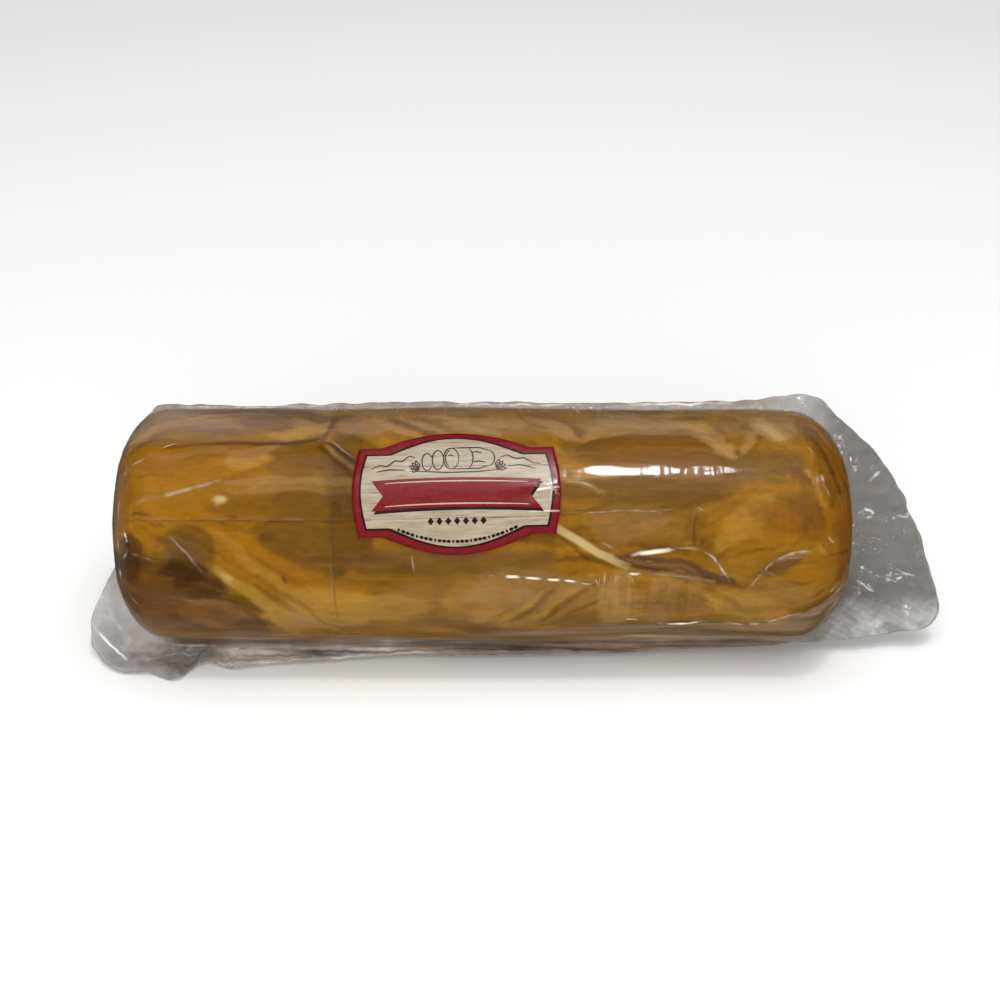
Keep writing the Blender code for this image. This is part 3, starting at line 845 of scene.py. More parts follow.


# ---- The film that clings to the cheese ----
# The clear bag, drawn down on the log by the vacuum and shrunk. It lies a hair off the skin,
# bridges the folds, and gathers in creases and pleats, with highlights painted along the creases.

# Each crease: half width and height in mm, the strength of the highlight painted along it, and its
# route
FRONT_CREASES = (
    (0.8, 0.4, 0.75, (1.5, 11.4), (5, 11.2)),
    (1.1, 0.6, 1.0, (8, 11.2), (15, 10.8)),
    (0.9, 0.6, 1.0, (16, 10.6), (23, 10)),
    (0.9, 0.5, 1.0, (24, 9.8), (31, 9.2)),
    (0.8, 0.6, 1.0, (31, 9), (37, 8.2)),
    (0.7, 0.4, 0.5, (38, 7.8), (43, 6.8)),
    (0.7, 0.4, 0.5, (44, 10), (46, 4)),
    (0.9, 0.5, 0.8, (56, 11.6), (62, 11)),
    (1.5, 1.0, 1.0, (57, 20.5), (61, 22), (67, 23), (75, 24)),
    (0.8, 0.7, 0.3, (74, 24.2), (80, 24.6), (86, 24)),
    (0.9, 0.7, 0.55, (84, 25), (90, 19.5), (94, 13), (97, 6)),
    (1.0, 0.8, 0.5, (104, 3), (109, 12), (114, 18.5), (121, 22.5), (131, 23.5)),
    (0.6, 0.2, 0.12, (-140, 38.2), (-100, 38.2), (-50, 37.6)),
    (0.6, 0.25, 0.35, (30, 41), (50, 42), (75, 42.6)),
    (1.3, 0.4, 0.36, (-134, 47), (-118, 51.5), (-101, 57.7)),
    (0.7, 0.7, 0.6, (-127, 76), (-121, 80)),
    (0.9, 0.5, 0.22, (-143, 84), (-130, 95), (-114, 103), (-92, 108)),
    (0.7, 0.4, 0.14, (-136, 84), (-120, 90), (-98, 92)),
    (0.7, 0.4, 0.16, (-128, 104), (-112, 99), (-96, 99)),
    (0.8, 0.7, 0.35, (-139, 66.5), (-129, 71)),
    (0.8, 0.6, 0.3, (-122, 31), (-115, 22), (-110, 13)),
    (0.8, 0.6, 0.25, (-138, 21.5), (-126, 17)),
    (0.7, 0.5, 0.35, (-28, 22), (-26, 11)),
    (0.8, 0.4, 0.12, (-58.5, 30), (-59, 8), (-58.5, -20)),
    (0.9, 0.8, 0.6, (52, -14), (63, -16.5)),
    (1.5, 0.9, 1.0, (70, -20.5), (78, -21), (90, -20)),
    (0.7, 0.8, 0.4, (84, -18.5), (93, -18)),
    (1.1, 0.8, 0.5, (90, -21), (104, -22.8), (112, -20.5), (120, -16), (130, -9.5)),
    (1.1, 0.7, 0.7, (132.5, 61), (133, 56), (135, 50)),
    (0.8, 0.6, 0.45, (130.5, 60), (130.5, 55)),
    (0.7, 0.7, 0.3, (128, 76), (131, 69)),
    (0.7, 0.6, 0.4, (134, 30), (137, 26)),
    (0.7, 0.6, 0.5, (136.5, -1), (141, 2)),
    (0.9, 0.7, 0.8, (-140, 35), (-139, 26)),
    (0.7, 0.6, 0.6, (-138.5, 24), (-141, 17)),
    (0.6, 0.6, 0.4, (-139, 72), (-142, 60)),
    (0.6, 0.6, 0.4, (-142, 52), (-143.5, 40)),
    (0.8, 0.7, 0.7, (-143, 30), (-143.5, 19)),
    (0.8, 0.7, 0.7, (-143.5, 11), (-143, 2)),
    (0.7, 0.6, 0.4, (-141, 1), (-137, -8)),
    (1.0, 0.5, 0.3, (46, 27.5), (53, 23)),
    (0.8, 0.5, 0.3, (47, 22), (54, 16.5)),
    (0.7, 0.08, 0.4, (33, 57), (41, 55), (47, 51.5)),
    (0.7, 0.5, 0.25, (64, 11.5), (78, 10), (92, 6.5)),
    (0.8, 0.5, 0.25, (-68, 83), (-60, 78), (-50, 68)),
    (0.7, 0.5, 0.3, (82.5, 43), (81, 36), (81, 29)),
    (0.6, 0.4, 0.45, (48, 13), (47.5, 6)),
    (0.6, 0.4, 0.4, (52, 12), (51.5, 7)),
    (0.6, 0.4, 0.35, (55, 13), (56, 8)),
    (0.6, 0.4, 0.3, (115, 10), (110, 13), (107, 8)),
    (0.6, 0.3, 0.3, (112, 15), (119, 19.5), (126, 20)),
    (0.6, 0.4, 0.35, (83, 44), (86, 42.5)),
)
WILD_CREASES = 46  # on the sides that the front's creases leave out
RIB_SPACING = 2.3  # mm from one gathered rib to the next
RIB_HEIGHT = 0.07  # mm
SLIT_GATHERS = (((64, 62), (90, 62)), ((42, 62), (29, 62)))  # fine pleats in the long reflection
TENSION_HEIGHT = 0.000035
# Low at the right the spare film starts up on the log: it is cloudy below this line
HEM = (
    (-40, -36), (10, -27.5), (34, -24), (52, -21), (66, -22), (92, -21.5), (105, -23.5),
    (118, -18.5), (131, -9), (146, 4),
)
BAG_LEAN = math.radians(55)  # how far up from level the plane of the bag's spare film is
# The label's middle and size. The film lies flat under it
LABEL_X = -0.0101
LABEL_ANGLE = math.radians(52)
LABEL_LENGTH = 0.081
LABEL_HEIGHT = 0.0508

film, _, _, _ = add_log("clinging_film")
film_chance = np.random.default_rng(17)
wild_creases = []
for _ in range(WILD_CREASES):
    crease = drawn(film_chance, (0.7, 1.1), (0.3, 0.8), (0.1, 0.5))
    wild_creases.append(crease + wild_route(film_chance, SIDE_ALONGS, (104, 250), (8, 40), 2))
# On the end faces the film is gathered in short creases that run straight away from the spare film
END_CREASES = 22
for sheet in (-END_SHEET, END_SHEET):
    for _ in range(END_CREASES):
        at, slant = drawn(film_chance, (-30, 30), (-0.3, 0.3))
        start, stop = film_chance.choice([-1, 1]) * np.array([1.5, film_chance.uniform(7, 22)])
        route = []
        for off in (start, stop):
            across = (at + slant * off) * math.cos(BAG_LEAN) - off * math.sin(BAG_LEAN)
            up = (at + slant * off) * math.sin(BAG_LEAN) + off * math.cos(BAG_LEAN)
            route.append((sheet + across, as_degrees(up)))
        wild_creases.append(drawn(film_chance, (0.8, 1.3), (0.4, 0.9), (0.1, 0.4)) + tuple(route))
creases = FRONT_CREASES + tuple(wild_creases)
along, degrees_up = log_x * 1000, np.degrees(log_angle)
label_off = np.maximum(
    np.abs(log_x - LABEL_X) / (LABEL_LENGTH / 2),
    np.abs(log_angle - LABEL_ANGLE) * LOG_RADIUS / (LABEL_HEIGHT / 2),
)
off_label = smooth_step(label_off, 0.9, 1.05)
on_end = ring_share < 0.68
film_place = np.where(on_end[:, None], end_sheet, unrolled(log_x, log_angle))
film_place = jittered(film_place, skin_places, 0.4, 61, 72)
beads = 0.75 + 0.5 * noise_at(skin_places, 0.004, 83.0)
film_stand = np.zeros(len(log_x))
for half_width, height, _, *route in creases:
    distance, _, share, _ = from_route(film_place, route)
    ridge = height / 1000 * tapered(share) * np.exp(-((distance / (half_width + 0.5)) ** 1.5))
    film_stand = np.maximum(film_stand, ridge * beads)
ribs = np.sin(math.tau * film_place[:, 0] / RIB_SPACING) * gather
tension = noise_at(skin_places * [0.22, 1, 1], 0.0032, 90.0)
film_stand += RIB_HEIGHT / 1000 * ribs + TENSION_HEIGHT * tension
film_stand = np.where(film_stand > 0, film_stand * off_label, film_stand) * towards_face

# Painted highlights: pale lines along the creases that the film's finish mixes in, broken into dashes
glints = tuple((half_width * 0.8, glint, *route) for half_width, _, glint, *route in creases)
GLINT_REACH = 4
glint_offset, glint_strength = nearest_line(film_place, glints, GLINT_REACH)
broken = smooth_step(0.55 + 1.6 * noise_at(skin_places, 0.0045, 66.0))
kept = np.maximum(0.25 + 0.75 * broken, smooth_step(glint_strength, 0.7, 0.8))

# Where the film is cloudy: a cap over the left end's top, the crown behind it, the left end's rim,
# the underside, whose thin pale veil is painted sheen, and the hem
patches = 0.5 + 0.5 * noise_at(skin_places * [0.4, 1, 1], 0.012, 97.0)
cap = smooth_step(degrees_up, 80, 84) * smooth_step(degrees_up, 128, 110)
cap *= smooth_step(along, -60, -66) * (0.42 + 0.58 * smooth_step(along, -98, -126))
crown = smooth_step(degrees_up, 76, 92) * smooth_step(degrees_up, 170, 130) * (1 - cap)
left_rim = smooth_step(along, -137, -145) * smooth_step(degrees_up, -20, 0) * (1 - cap)
left_rim *= degrees_up < 110
below, hem_side, _, _ = from_route(film_place, HEM)
hem = smooth_step(hem_side * below, 1.0, -1.5) * smooth_step(along, -30, 30)
hem *= smooth_step(degrees_up, -60, -40) * (degrees_up < 90)
hem_streaks = noise_at(skin_places * [0.06, 1, 1], 0.0035, 15.0)
# painted sheen: a thin pale veil over the underside, above the hem
underside = smooth_step(degrees_up, -6, -22) * smooth_step(degrees_up, -60, -40) * (1 - hem)
veil = 0.4 * cap * (0.35 + 0.65 * smooth_step(degrees_up, 84, 96)) + 0.12 * (crown + left_rim)
veil = veil * (0.5 + patches) + 0.06 * underside + 0.5 * hem * (1 + 0.3 * hem_streaks)
slits = 0.5 * gather
for route in SLIT_GATHERS:
    off_slits, _, slit_share, _ = from_route(film_place, route)
    slits = np.maximum(slits, (0.1 + 0.9 * slit_share) * np.exp(-((off_slits / 5) ** 2)))
under_hem = hem[:, None]
frost = from_screen(174, 156, 138) * (1 - under_hem) + from_screen(148, 124, 98) * under_hem
keep(
    film,
    glint_offset=glint_offset,
    glint_strength=glint_strength * kept * off_label,
    haze=0.002 + 0.005 * patches + veil * smooth_step(ring_share, 0.6, 0.85),
    loose=np.zeros(len(log_x)),
    pleated=slits,
    frost=frost * (1 + 0.6 * hem * hem_streaks)[:, None],
)
close_up(film, in_place(around_axis(log_x, log_angle, log_radius + film_stand), 0.0003))

clear_film, tree, haze_shader = new_finish("clear_film")
place = own_place(tree)
ROUND_LOG_LONGER = (1, 0.06, 0.06)
loose = stored(tree, "loose")
crinkle = grain_of(tree, place, 260, 2, 0.3, (0.25, 1, 1))
rumple = grain_of(tree, place, 170, 3, 1.2)
pleat = grain_of(tree, place, 800, 2, 0, ROUND_LOG_LONGER)
rumpled = calculated(tree, "MULTIPLY", calculated(tree, "MULTIPLY", rumple, loose), 6.0)
pleated = calculated(tree, "MULTIPLY", pleat, stored(tree, "pleated"))
pleated = calculated(tree, "MULTIPLY", pleated, 0.2)
height = calculated(tree, "ADD", calculated(tree, "ADD", crinkle, pleated), rumpled)
film_bump = add_node(tree, "Bump", Height=height, Strength=0.2, Distance=0.0003).outputs[0]
# Painted highlights: pale lines along the stored creases and flecks scattered on crumpled film, mixed
# into its cloudy colour
crumpled = ranged(tree, loose, 0.5, 1.0, 0, 1)
sparkle_dots = ranged(tree, grain_of(tree, place, 430, 2, 2.5), 0.66, 0.71, 0, 0.7)
clusters = ranged(tree, grain_of(tree, place, 75, 1), 0.56, 0.66, 0, 1)
sparkle = calculated(tree, "MULTIPLY", calculated(tree, "MULTIPLY", sparkle_dots, clusters), crumpled)
glint = calculated(tree, "MAXIMUM", line_mask(tree, "glint", 0.35, 1.1), sparkle)
WARM_GLINT, PALE_GLINT = (1.0, 0.86, 0.66), (0.95, 0.95, 0.94)
glint_colour = blended(tree, "MIX", ranged(tree, loose, 0, 0.4, 0, 1), WARM_GLINT, PALE_GLINT)
mottle = blended(tree, "MIX", loose, (1, 1, 1), ranged(tree, rumple, 0.3, 0.7, 0.78, 1.24))
frosted = blended(tree, "MULTIPLY", 1.0, stored(tree, "frost", "Color"), mottle)
bright = blended(tree, "MIX", glint, frosted, glint_colour)
set_inputs(tree, haze_shader, Base_Color=bright, Roughness=0.4, Normal=film_bump)
see_through = add_node(tree, "BsdfTransparent")
gloss = add_node(tree, "BsdfGlossy", Roughness=0.08, Normal=film_bump)
fresnel = add_node(tree, "Fresnel", IOR=1.42, Normal=film_bump).outputs[0]
slit = grain_of(tree, place, 1150, 1, 0, ROUND_LOG_LONGER)
gathered = calculated(tree, "MULTIPLY", stored(tree, "pleated"), 0.25)
slit_open = ranged(tree, calculated(tree, "ADD", slit, gathered), 0.62, 0.66, 0, 0.92)
facing = calculated(tree, "SUBTRACT", 1.0, slit_open)
mirrored = calculated(tree, "MULTIPLY", calculated(tree, "MINIMUM", fresnel, 0.3), facing)
clear = add_node(tree, "MixShader", _0=mirrored, _1=see_through.outputs[0], _2=gloss.outputs[0])
# the painted highlights also make the film cloudy, so that they show
hazed = calculated(tree, "MAXIMUM", stored(tree, "haze"), calculated(tree, "MULTIPLY", glint, 0.9))
whole = add_node(tree, "MixShader", _0=hazed, _1=clear.outputs[0], _2=haze_shader.outputs[0])
fill(tree, tree.nodes["Material Output"].inputs["Surface"], whole.outputs[0])
film.data.materials.append(clear_film)
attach(film, "root")
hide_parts("vacuum_bag")


# ---- The spare film ----
# Where the bag's front and back sheets meet they stand out round the log as one flat skirt: a
# rounded ear at the left, a wide tail at the right, a low strip along the top and a fin in front
# that lies on the counter. The two sheets are crumpled, and joined at their outer edge.

HALF_SHEETS = 0.0007  # half the space between the two sheets
BEND_LENGTH = 0.006
BEND_START = -(AXIS_HEIGHT - HALF_SHEETS) / math.sin(BAG_LEAN)  # where the plane meets the counter
# The skirt's outline: mm along the log, and mm up the leaning plane from the log's axis
BACK_EDGE = (
    (-153.5, -14), (-152.6, 2), (-152.8, 16), (-152, 28), (-147.8, 39), (-140, 46.5), (-133, 50.5),
    (-100, 50), (-35, 51.3), (50, 51.2), (108, 52), (137, 54.5), (148.5, 46), (155.7, 38.7),
    (162.8, 32), (168.3, 25.3), (174.6, 15.2), (178.8, 5.1), (183.8, -5), (186.8, -15.2), (189.7, -27),
)
FRONT_EDGE = (
    (191.5, -37), (186.8, -43.2), (174.8, -45.5), (149.5, -49), (115.8, -51.8), (82.2, -53.7),
    (48.6, -55.8), (6.7, -56.9), (-35.1, -57), (-64, -59.8), (-90, -62.5), (-104.3, -64.5),
    (-114.8, -60.9), (-120.9, -64.5), (-126.3, -70.8), (-137, -67.5), (-150.3, -66.3),
    (-157.5, -61.8), (-163.5, -53), (-164.8, -43), (-163, -34), (-159.2, -25.5),
)
# The creases with highlights painted along them. Each: half width in mm, strength, and its route in
# the same mm
SKIRT_CREASES = (
    (0.8, 1.0, (-164.5, -42), (-156.5, -51.5), (-146, -62.8)),
    (0.9, 0.3, (-158, -34), (-153, -44), (-148, -52)),
    (1.2, 0.25, (-150, -30), (-143, -44), (-136, -52)),
    (0.7, 0.45, (-147, -61), (-136, -59), (-128, -57), (-118, -56.5)),
    (0.6, 0.35, (-143, -64), (-134, -62.5), (-124, -65)),
    (0.9, 0.5, (-141, -49.2), (-127, -51.4), (-111, -52)),
    (0.8, 0.2, (-112, -52.8), (-86, -53.3), (-64, -53.3)),
    (0.7, 0.45, (-112, -54), (-98, -54.8), (-88, -55)),
    (0.7, 0.7, (165.7, 22), (161.5, 17.8)),
    (0.6, 0.5, (172, -18), (176, -20.5), (181, -22)),
    (0.7, 0.8, (60, 50.4), (80, 50.6), (104, 50.8)),
    (0.6, 0.6, (-20, 50.3), (10, 50.2), (44, 50.2)),
    (0.6, 0.5, (-128, 49.5), (-100, 49), (-60, 50)),
)
# Where painted flecks of highlight lie on the crumpled film. Each: the spot's middle, its reach in mm
# and its count of flecks
FLECK_SPOTS = (
    ((133, 53), 4.5, 8),
    ((150, 32), 5, 14),
    ((157, 23.5), 3, 4),
    ((160, 4), 3.5, 6),
    ((176, 2), 4, 7),
    ((158.5, -20), 2.5, 7),
    ((168.5, -21), 5, 14),
    ((160, -28), 4, 7),
    ((178, -36), 6, 6),
    ((-156, -36), 5, 3),
)
OUTLINE_STEPS = 6  # points for each corner of the outline
ROOT_POINTS = 6000
ROOT_SPAN = 20  # points each way that the line's direction is taken from
SKIRT_COLUMNS = 840
SHEET_ROWS = 28
ROOT_DEPTH = 0.0025  # how far the sheets start inside the clinging film
EDGE_WAVE = 0.0007
RIPPLE_HEIGHT, RIPPLE_LENGTH = 0.0011, 0.030
CRUMPLE_HEIGHT, CRUMPLE_LENGTH = 0.0013, 0.013
PLEAT_HEIGHT = 0.0007
FLARE_HEIGHT, FLARE_LENGTH = 0.0030, 0.0022  # the sheets part where they meet the log


def smooth_outline(corners, steps):
    """A closed curve through the corners, with that many points for each."""
    corners = np.array(corners, float)
    before, here, ahead, beyond = (np.roll(corners, turn, axis=0)[:, None] for turn in (1, 0, -1, -2))
    t = (np.arange(steps) / steps)[None, :, None]
    bend = 2 * before - 5 * here + 4 * ahead - beyond
    twist = 3 * here - 3 * ahead + beyond - before
    curve = 2 * here + (ahead - before) * t + bend * t**2 + twist * t**3
    return (curve / 2).reshape(-1, 2)


def root_line(count):
    """The log's side view in the skirt's plane, all the way round, with its outward directions."""
    x, radius = log_profile()
    loop = np.concatenate([np.column_stack([x, radius]), np.column_stack([x, -radius])[::-1][1:-1]])
    gaps = np.linalg.norm(np.roll(loop, -1, axis=0) - loop, axis=1)
    reached = np.concatenate([[0], np.cumsum(gaps)])
    at = np.linspace(0, reached[-1], count, endpoint=False)
    closed = np.vstack([loop, loop[:1]])
    points = np.column_stack([np.interp(at, reached, closed[:, axis]) for axis in range(2)])
    run = np.roll(points, -ROOT_SPAN, axis=0) - np.roll(points, ROOT_SPAN, axis=0)
    outward = np.column_stack([-run[:, 1], run[:, 0]]) / np.linalg.norm(run, axis=1)[:, None]
    return points, outward


def reach_to(outline, points, outward):
    """How far each root point is from the outline, straight outwards."""
    ends = np.roll(outline, -1, axis=0) - outline
    reach = np.full(len(points), np.inf)
    for start, run in zip(outline, ends):
        across = outward[:, 0] * run[1] - outward[:, 1] * run[0]
        off = start - points
        with np.errstate(divide="ignore", invalid="ignore"):
            far = (off[:, 0] * run[1] - off[:, 1] * run[0]) / across
            share = (off[:, 0] * outward[:, 1] - off[:, 1] * outward[:, 0]) / across
        hit = (far > 0) & (share >= 0) & (share <= 1)
        reach = np.where(hit, np.minimum(reach, far), reach)
    return reach


def laid_down(w):
    """0 up the leaning plane and 1 where the skirt lies on the counter."""
    return smooth_step(BEND_START - w, -BEND_LENGTH / 2, BEND_LENGTH / 2)


def on_skirt(x, w, lift):
    """Points of the skirt: up its leaning plane, or along the counter below past the bend."""
    past = BEND_START - w
    laid = (past + np.sqrt(past * past + BEND_LENGTH**2)) / 2
    leaning = w + laid
    upright = 1 - laid_down(w)
    lean = np.stack([-math.sin(BAG_LEAN) * upright, 1 - (1 - math.cos(BAG_LEAN)) * upright], -1)
    lean /= np.linalg.norm(lean, axis=-1, keepdims=True)
    y = leaning * math.cos(BAG_LEAN) - laid + lean[:, 0] * lift
    z = leaning * math.sin(BAG_LEAN) + lean[:, 1] * lift
    return np.column_stack([x, y, z])


def creased(places, length, shift):
    """Crumples with sharp ridges that wander: 1 on a ridge and lower beside it."""
    return 1 - 2.6 * np.abs(noise_at(places, length, shift))


def gaps_along(line):
    """How far each point of a closed line is from the next."""
    return np.linalg.norm(np.roll(line, -1, axis=0) - line, axis=1)


# The columns of points are spread evenly by what they are apart at the root and at the tip
outline = smooth_outline(BACK_EDGE + FRONT_EDGE, OUTLINE_STEPS) / 1000
fine_points, fine_outward = root_line(ROOT_POINTS)
fine_reach = reach_to(outline, fine_points, fine_outward)
tips = fine_points + fine_outward * fine_reach[:, None]
reached = np.cumsum(gaps_along(tips) + gaps_along(fine_points))
chosen = np.searchsorted(reached, np.linspace(0, reached[-1], SKIRT_COLUMNS, endpoint=False))
roots, outward, reach = fine_points[chosen], fine_outward[chosen], fine_reach[chosen]

spare_film, column, row = add_grid("spare_film", SKIRT_COLUMNS, 2 * SHEET_ROWS)
column = column % SKIRT_COLUMNS
row = row / SHEET_ROWS - 1  # -1 is the front sheet's root, 0 the joined edge, 1 the back's root
out = 1 - np.abs(row)
edge_places = np.column_stack([roots + outward * reach[:, None], np.zeros(SKIRT_COLUMNS)])
along_fin = (roots[:, 1] < 0) & (np.abs(roots[:, 0]) < 0.12)
edge_wave = EDGE_WAVE * np.where(along_fin, 0.25, 1) * noise_at(edge_places, 0.009, 5.0)
distance = out * (reach + edge_wave + ROOT_DEPTH)[column] - ROOT_DEPTH
skirt_x, skirt_w = (roots[column] + outward[column] * distance[:, None]).T
in_plane = np.column_stack([skirt_x, skirt_w, np.zeros(len(skirt_x))])

fin = smooth_step(skirt_w, -0.046, -0.050)
fin *= smooth_step(skirt_x, 0.14, 0.12) * smooth_step(skirt_x, -0.12, -0.10)
ripples = np.array([noise.noise(Vector(point)) for point in in_plane / RIPPLE_LENGTH])
ripples *= RIPPLE_HEIGHT * (1 - laid_down(skirt_w))
stretched = in_plane * np.column_stack([1 - 0.8 * fin, 1 + 0.5 * fin, np.ones(len(fin))])
broad = creased(stretched, CRUMPLE_LENGTH, 2.0)
tight = creased(stretched, CRUMPLE_LENGTH * 0.45, 8.0)
room = 0.3 + 0.7 * smooth_step(distance, 0, 0.010)
crumples = CRUMPLE_HEIGHT * (0.6 * broad + 0.3 * tight) * room
turn = column / SKIRT_COLUMNS * math.tau
round_log = np.column_stack([30 * np.cos(turn), 30 * np.sin(turn), 10 * distance])
pleats = PLEAT_HEIGHT * noise_at(round_log, 1.0, 4.0) * smooth_step(distance, 0, 0.004)
apart = HALF_SHEETS * smooth_step(out, 1, 0.88)
apart += FLARE_HEIGHT * np.exp(-np.maximum(distance + ROOT_DEPTH, 0) / FLARE_LENGTH)
apart += 0.3 * CRUMPLE_HEIGHT * noise_at(in_plane, 0.006, 9.0) * smooth_step(out, 1, 0.9)
lift = ripples + crumples + pleats + np.where(row < 0, apart, -apart)

# The painted highlight lines are on the front sheet
lights = []
for half_width, strength, *route in SKIRT_CREASES:
    lights.append((half_width, strength, *((x, as_degrees(w)) for x, w in route)))
fleck_chance = np.random.default_rng(9)
for middle, spot, count in FLECK_SPOTS:
    for _ in range(count):
        start = np.array(middle) + fleck_chance.normal(0, spot / 2, 2)
        turn, length = fleck_chance.normal(0.5, 0.7), fleck_chance.uniform(0.4, 2.2)
        end = start + length * np.array([math.cos(turn), math.sin(turn)])
        width_and_strength = drawn(fleck_chance, (0.4, 0.9), (0.3, 1.0))
        lights.append((*width_and_strength, *((x, as_degrees(w)) for x, w in (start, end))))
skirt_here = jittered(in_plane[:, :2] * 1000, in_plane, 0.5, 21, 22)
glint_offset, glint_strength = nearest_line(skirt_here, lights, 3)
flashing = 0.3 + 0.7 * smooth_step(0.6 + 1.6 * noise_at(in_plane, 0.004, 33.0))
glint_strength *= (row < 0.02) * np.maximum(flashing, smooth_step(glint_strength, 0.6, 0.8))

# Each part of the film: where it is, its screen colour and how much it covers. The fin's right part
# and the strip by the log's foot are painted shade
tail = smooth_step(skirt_x, 0.132, 0.152)
low_tail = tail * smooth_step(skirt_w, -0.028, -0.040)
ear = smooth_step(skirt_x, -0.120, -0.145) * smooth_step(skirt_w, -0.02, -0.03)
top = smooth_step(skirt_w, 0.044, 0.048) * smooth_step(skirt_x, 0.128, 0.113)
# painted shadow and reflection: the fin's right part, under the log, darker and warmer
fin_in_shade = fin * smooth_step(skirt_x, -0.06, -0.01)
# painted shade: the fin darker and browner right next to the log's foot
root_shade = smooth_step(skirt_w, -0.0528, -0.0508) * (skirt_w < -0.04)
root_shade *= smooth_step(skirt_x, -0.03, -0.05) * smooth_step(skirt_x, -0.138, -0.126)
frost, cover = np.tile(from_screen(150, 144, 138), (len(skirt_x), 1)), 0.5
for share, tone, tone_cover in (
    (tail, (92, 87, 81), 0.64),
    (low_tail, (162, 161, 157), 0.58),
    (ear, (172, 166, 162), 0.52),
    (top, (146, 130, 112), 0.62),
    (fin, (206, 197, 188), 0.66),
    (fin_in_shade, (134, 115, 100), 0.74),
    (0.8 * root_shade, (98, 72, 46), 0.8),
):
    frost = frost * (1 - share[:, None]) + from_screen(*tone) * share[:, None]
    cover = cover * (1 - share) + tone_cover * share
# The frost's brightness: painted highlights along the joined edge and on crumple ridges, painted light
# and shade in streaks along the fin and along the fan of pleats in the low tail, a darker patch on the
# ear, a lighter strip along its top, and random patches
rim = smooth_step(out, 0.94, 0.99)
ear_crown = ear * smooth_step(skirt_w, -0.058, -0.053) * smooth_step(skirt_x, -0.155, -0.149)
dark_ear = np.exp(-(((skirt_x + 0.122) / 0.016) ** 2) - ((skirt_w + 0.061) / 0.007) ** 2)
patch = 0.5 + 0.5 * noise_at(in_plane, 0.011, 14.0)
ridge_light = smooth_step(0.2 + 1.5 * noise_at(in_plane, 0.012, 44.0)) * smooth_step(broad, 0.75, 1)
ridge_light *= (1 - fin) * (1 - 0.7 * ear)
lengthwise = noise_at(in_plane * [0.05, 1, 1], 0.0022, 61.0)
lengthwise += 0.4 * noise_at(in_plane * [0.06, 1, 1], 0.001, 71.0)
fan_run, fan_across = skirt_x * 0.87 - skirt_w * 0.5, skirt_x * 0.5 + skirt_w * 0.87
fanned = noise_at(np.column_stack([fan_run, 6 * fan_across, 0 * fan_run]), 0.013, 87.0) * low_tail
light = (0.85 + 0.3 * patch) * (1 + 0.3 * rim) * (1 + 0.5 * ridge_light)
light *= (1 + 0.8 * fin * lengthwise) * (1 + 0.35 * fanned)
light *= (1 - 0.12 * dark_ear) * (1 + 0.25 * ear_crown)
cover += 0.06 * (patch - 0.5) + 0.08 * ridge_light + 0.1 * rim
keep(
    spare_film,
    glint_offset=glint_offset,
    glint_strength=glint_strength,
    frost=np.clip(frost * light[:, None], 0, 0.9),
    haze=np.where(out < 0.99, cover, 0.3),
    loose=0.45 + 0.55 * np.maximum(tail, 0.6 * top),
    pleated=np.zeros(len(skirt_x)),
)
close_up(spare_film, in_place(on_skirt(skirt_x, skirt_w, lift), 0.0004))
spare_film.data.materials.append(clear_film)
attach(spare_film, "root")
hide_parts("vacuum_bag")


# ---- The label ----
# A plaque of coated paper stuck on the film: a red border, a thin dark line inside it, and a
# field printed as whitewashed boards.

LABEL_CORNER_HEIGHT = 0.0355
LABEL_CORNER_LENGTH = 0.0765
LABEL_TILT = math.radians(1.3)
LABEL_STEP = 0.009  # along each corner, where the outline runs straight before it rises
LABEL_THICKNESS = 0.0003
LABEL_GAP = 0.0005
BORDER_WIDTH = 0.0026
LINE_WIDTH = 0.0008
LABEL_COLUMNS = 72
LABEL_ROWS = 48
RING_INSETS = (0, BORDER_WIDTH / 2, BORDER_WIDTH, BORDER_WIDTH + LINE_WIDTH)
# Where the film under the label has gathered. Each: half width and height in mm, and its route
LABEL_WRINKLES = (
    (1.6, 0.45, (6, 51.5), (16, 53.5), (30, 54.5)),
    (1.4, 0.40, (12, 44), (22, 45), (31, 44)),
    (1.4, 0.30, (-49, 60), (-40, 61.5), (-28, 61)),
    (1.4, 0.25, (-44, 37), (-30, 36)),
)
# Creases of the film that run on over the label, painted on it as highlights. Each: half width in mm,
# strength, and its route
LABEL_GLINTS = (
    (0.6, 0.8, (10, 56), (14, 52.5), (19, 50.8), (30, 52.4)),
    (0.4, 0.5, (17, 41), (24, 41.2), (31, 41)),
    (0.4, 0.4, (12, 57.5), (15, 54.5), (17, 52)),
    (0.5, 0.25, (26, 57), (27, 52), (26, 46)),
)


def bow(share):
    """A shallow arc, 0 at both ends and 1 in the middle."""
    return np.sin(math.pi * np.clip(share, 0, 1))


def on_plaque(across, up, inset):
    """A point of the plaque's flat outline or inside it, from -1 to 1 each way."""
    corner_x = LABEL_CORNER_LENGTH / 2 - inset
    corner_y = LABEL_CORNER_HEIGHT / 2 - inset
    arc_x = corner_x - LABEL_STEP
    rise = (LABEL_HEIGHT - LABEL_CORNER_HEIGHT) / 2 * bow((across * corner_x + arc_x) / (2 * arc_x))
    bulge = (LABEL_LENGTH - LABEL_CORNER_LENGTH) / 2 * bow((up + 1) / 2)
    return across * (corner_x + bulge), up * (corner_y + rise)


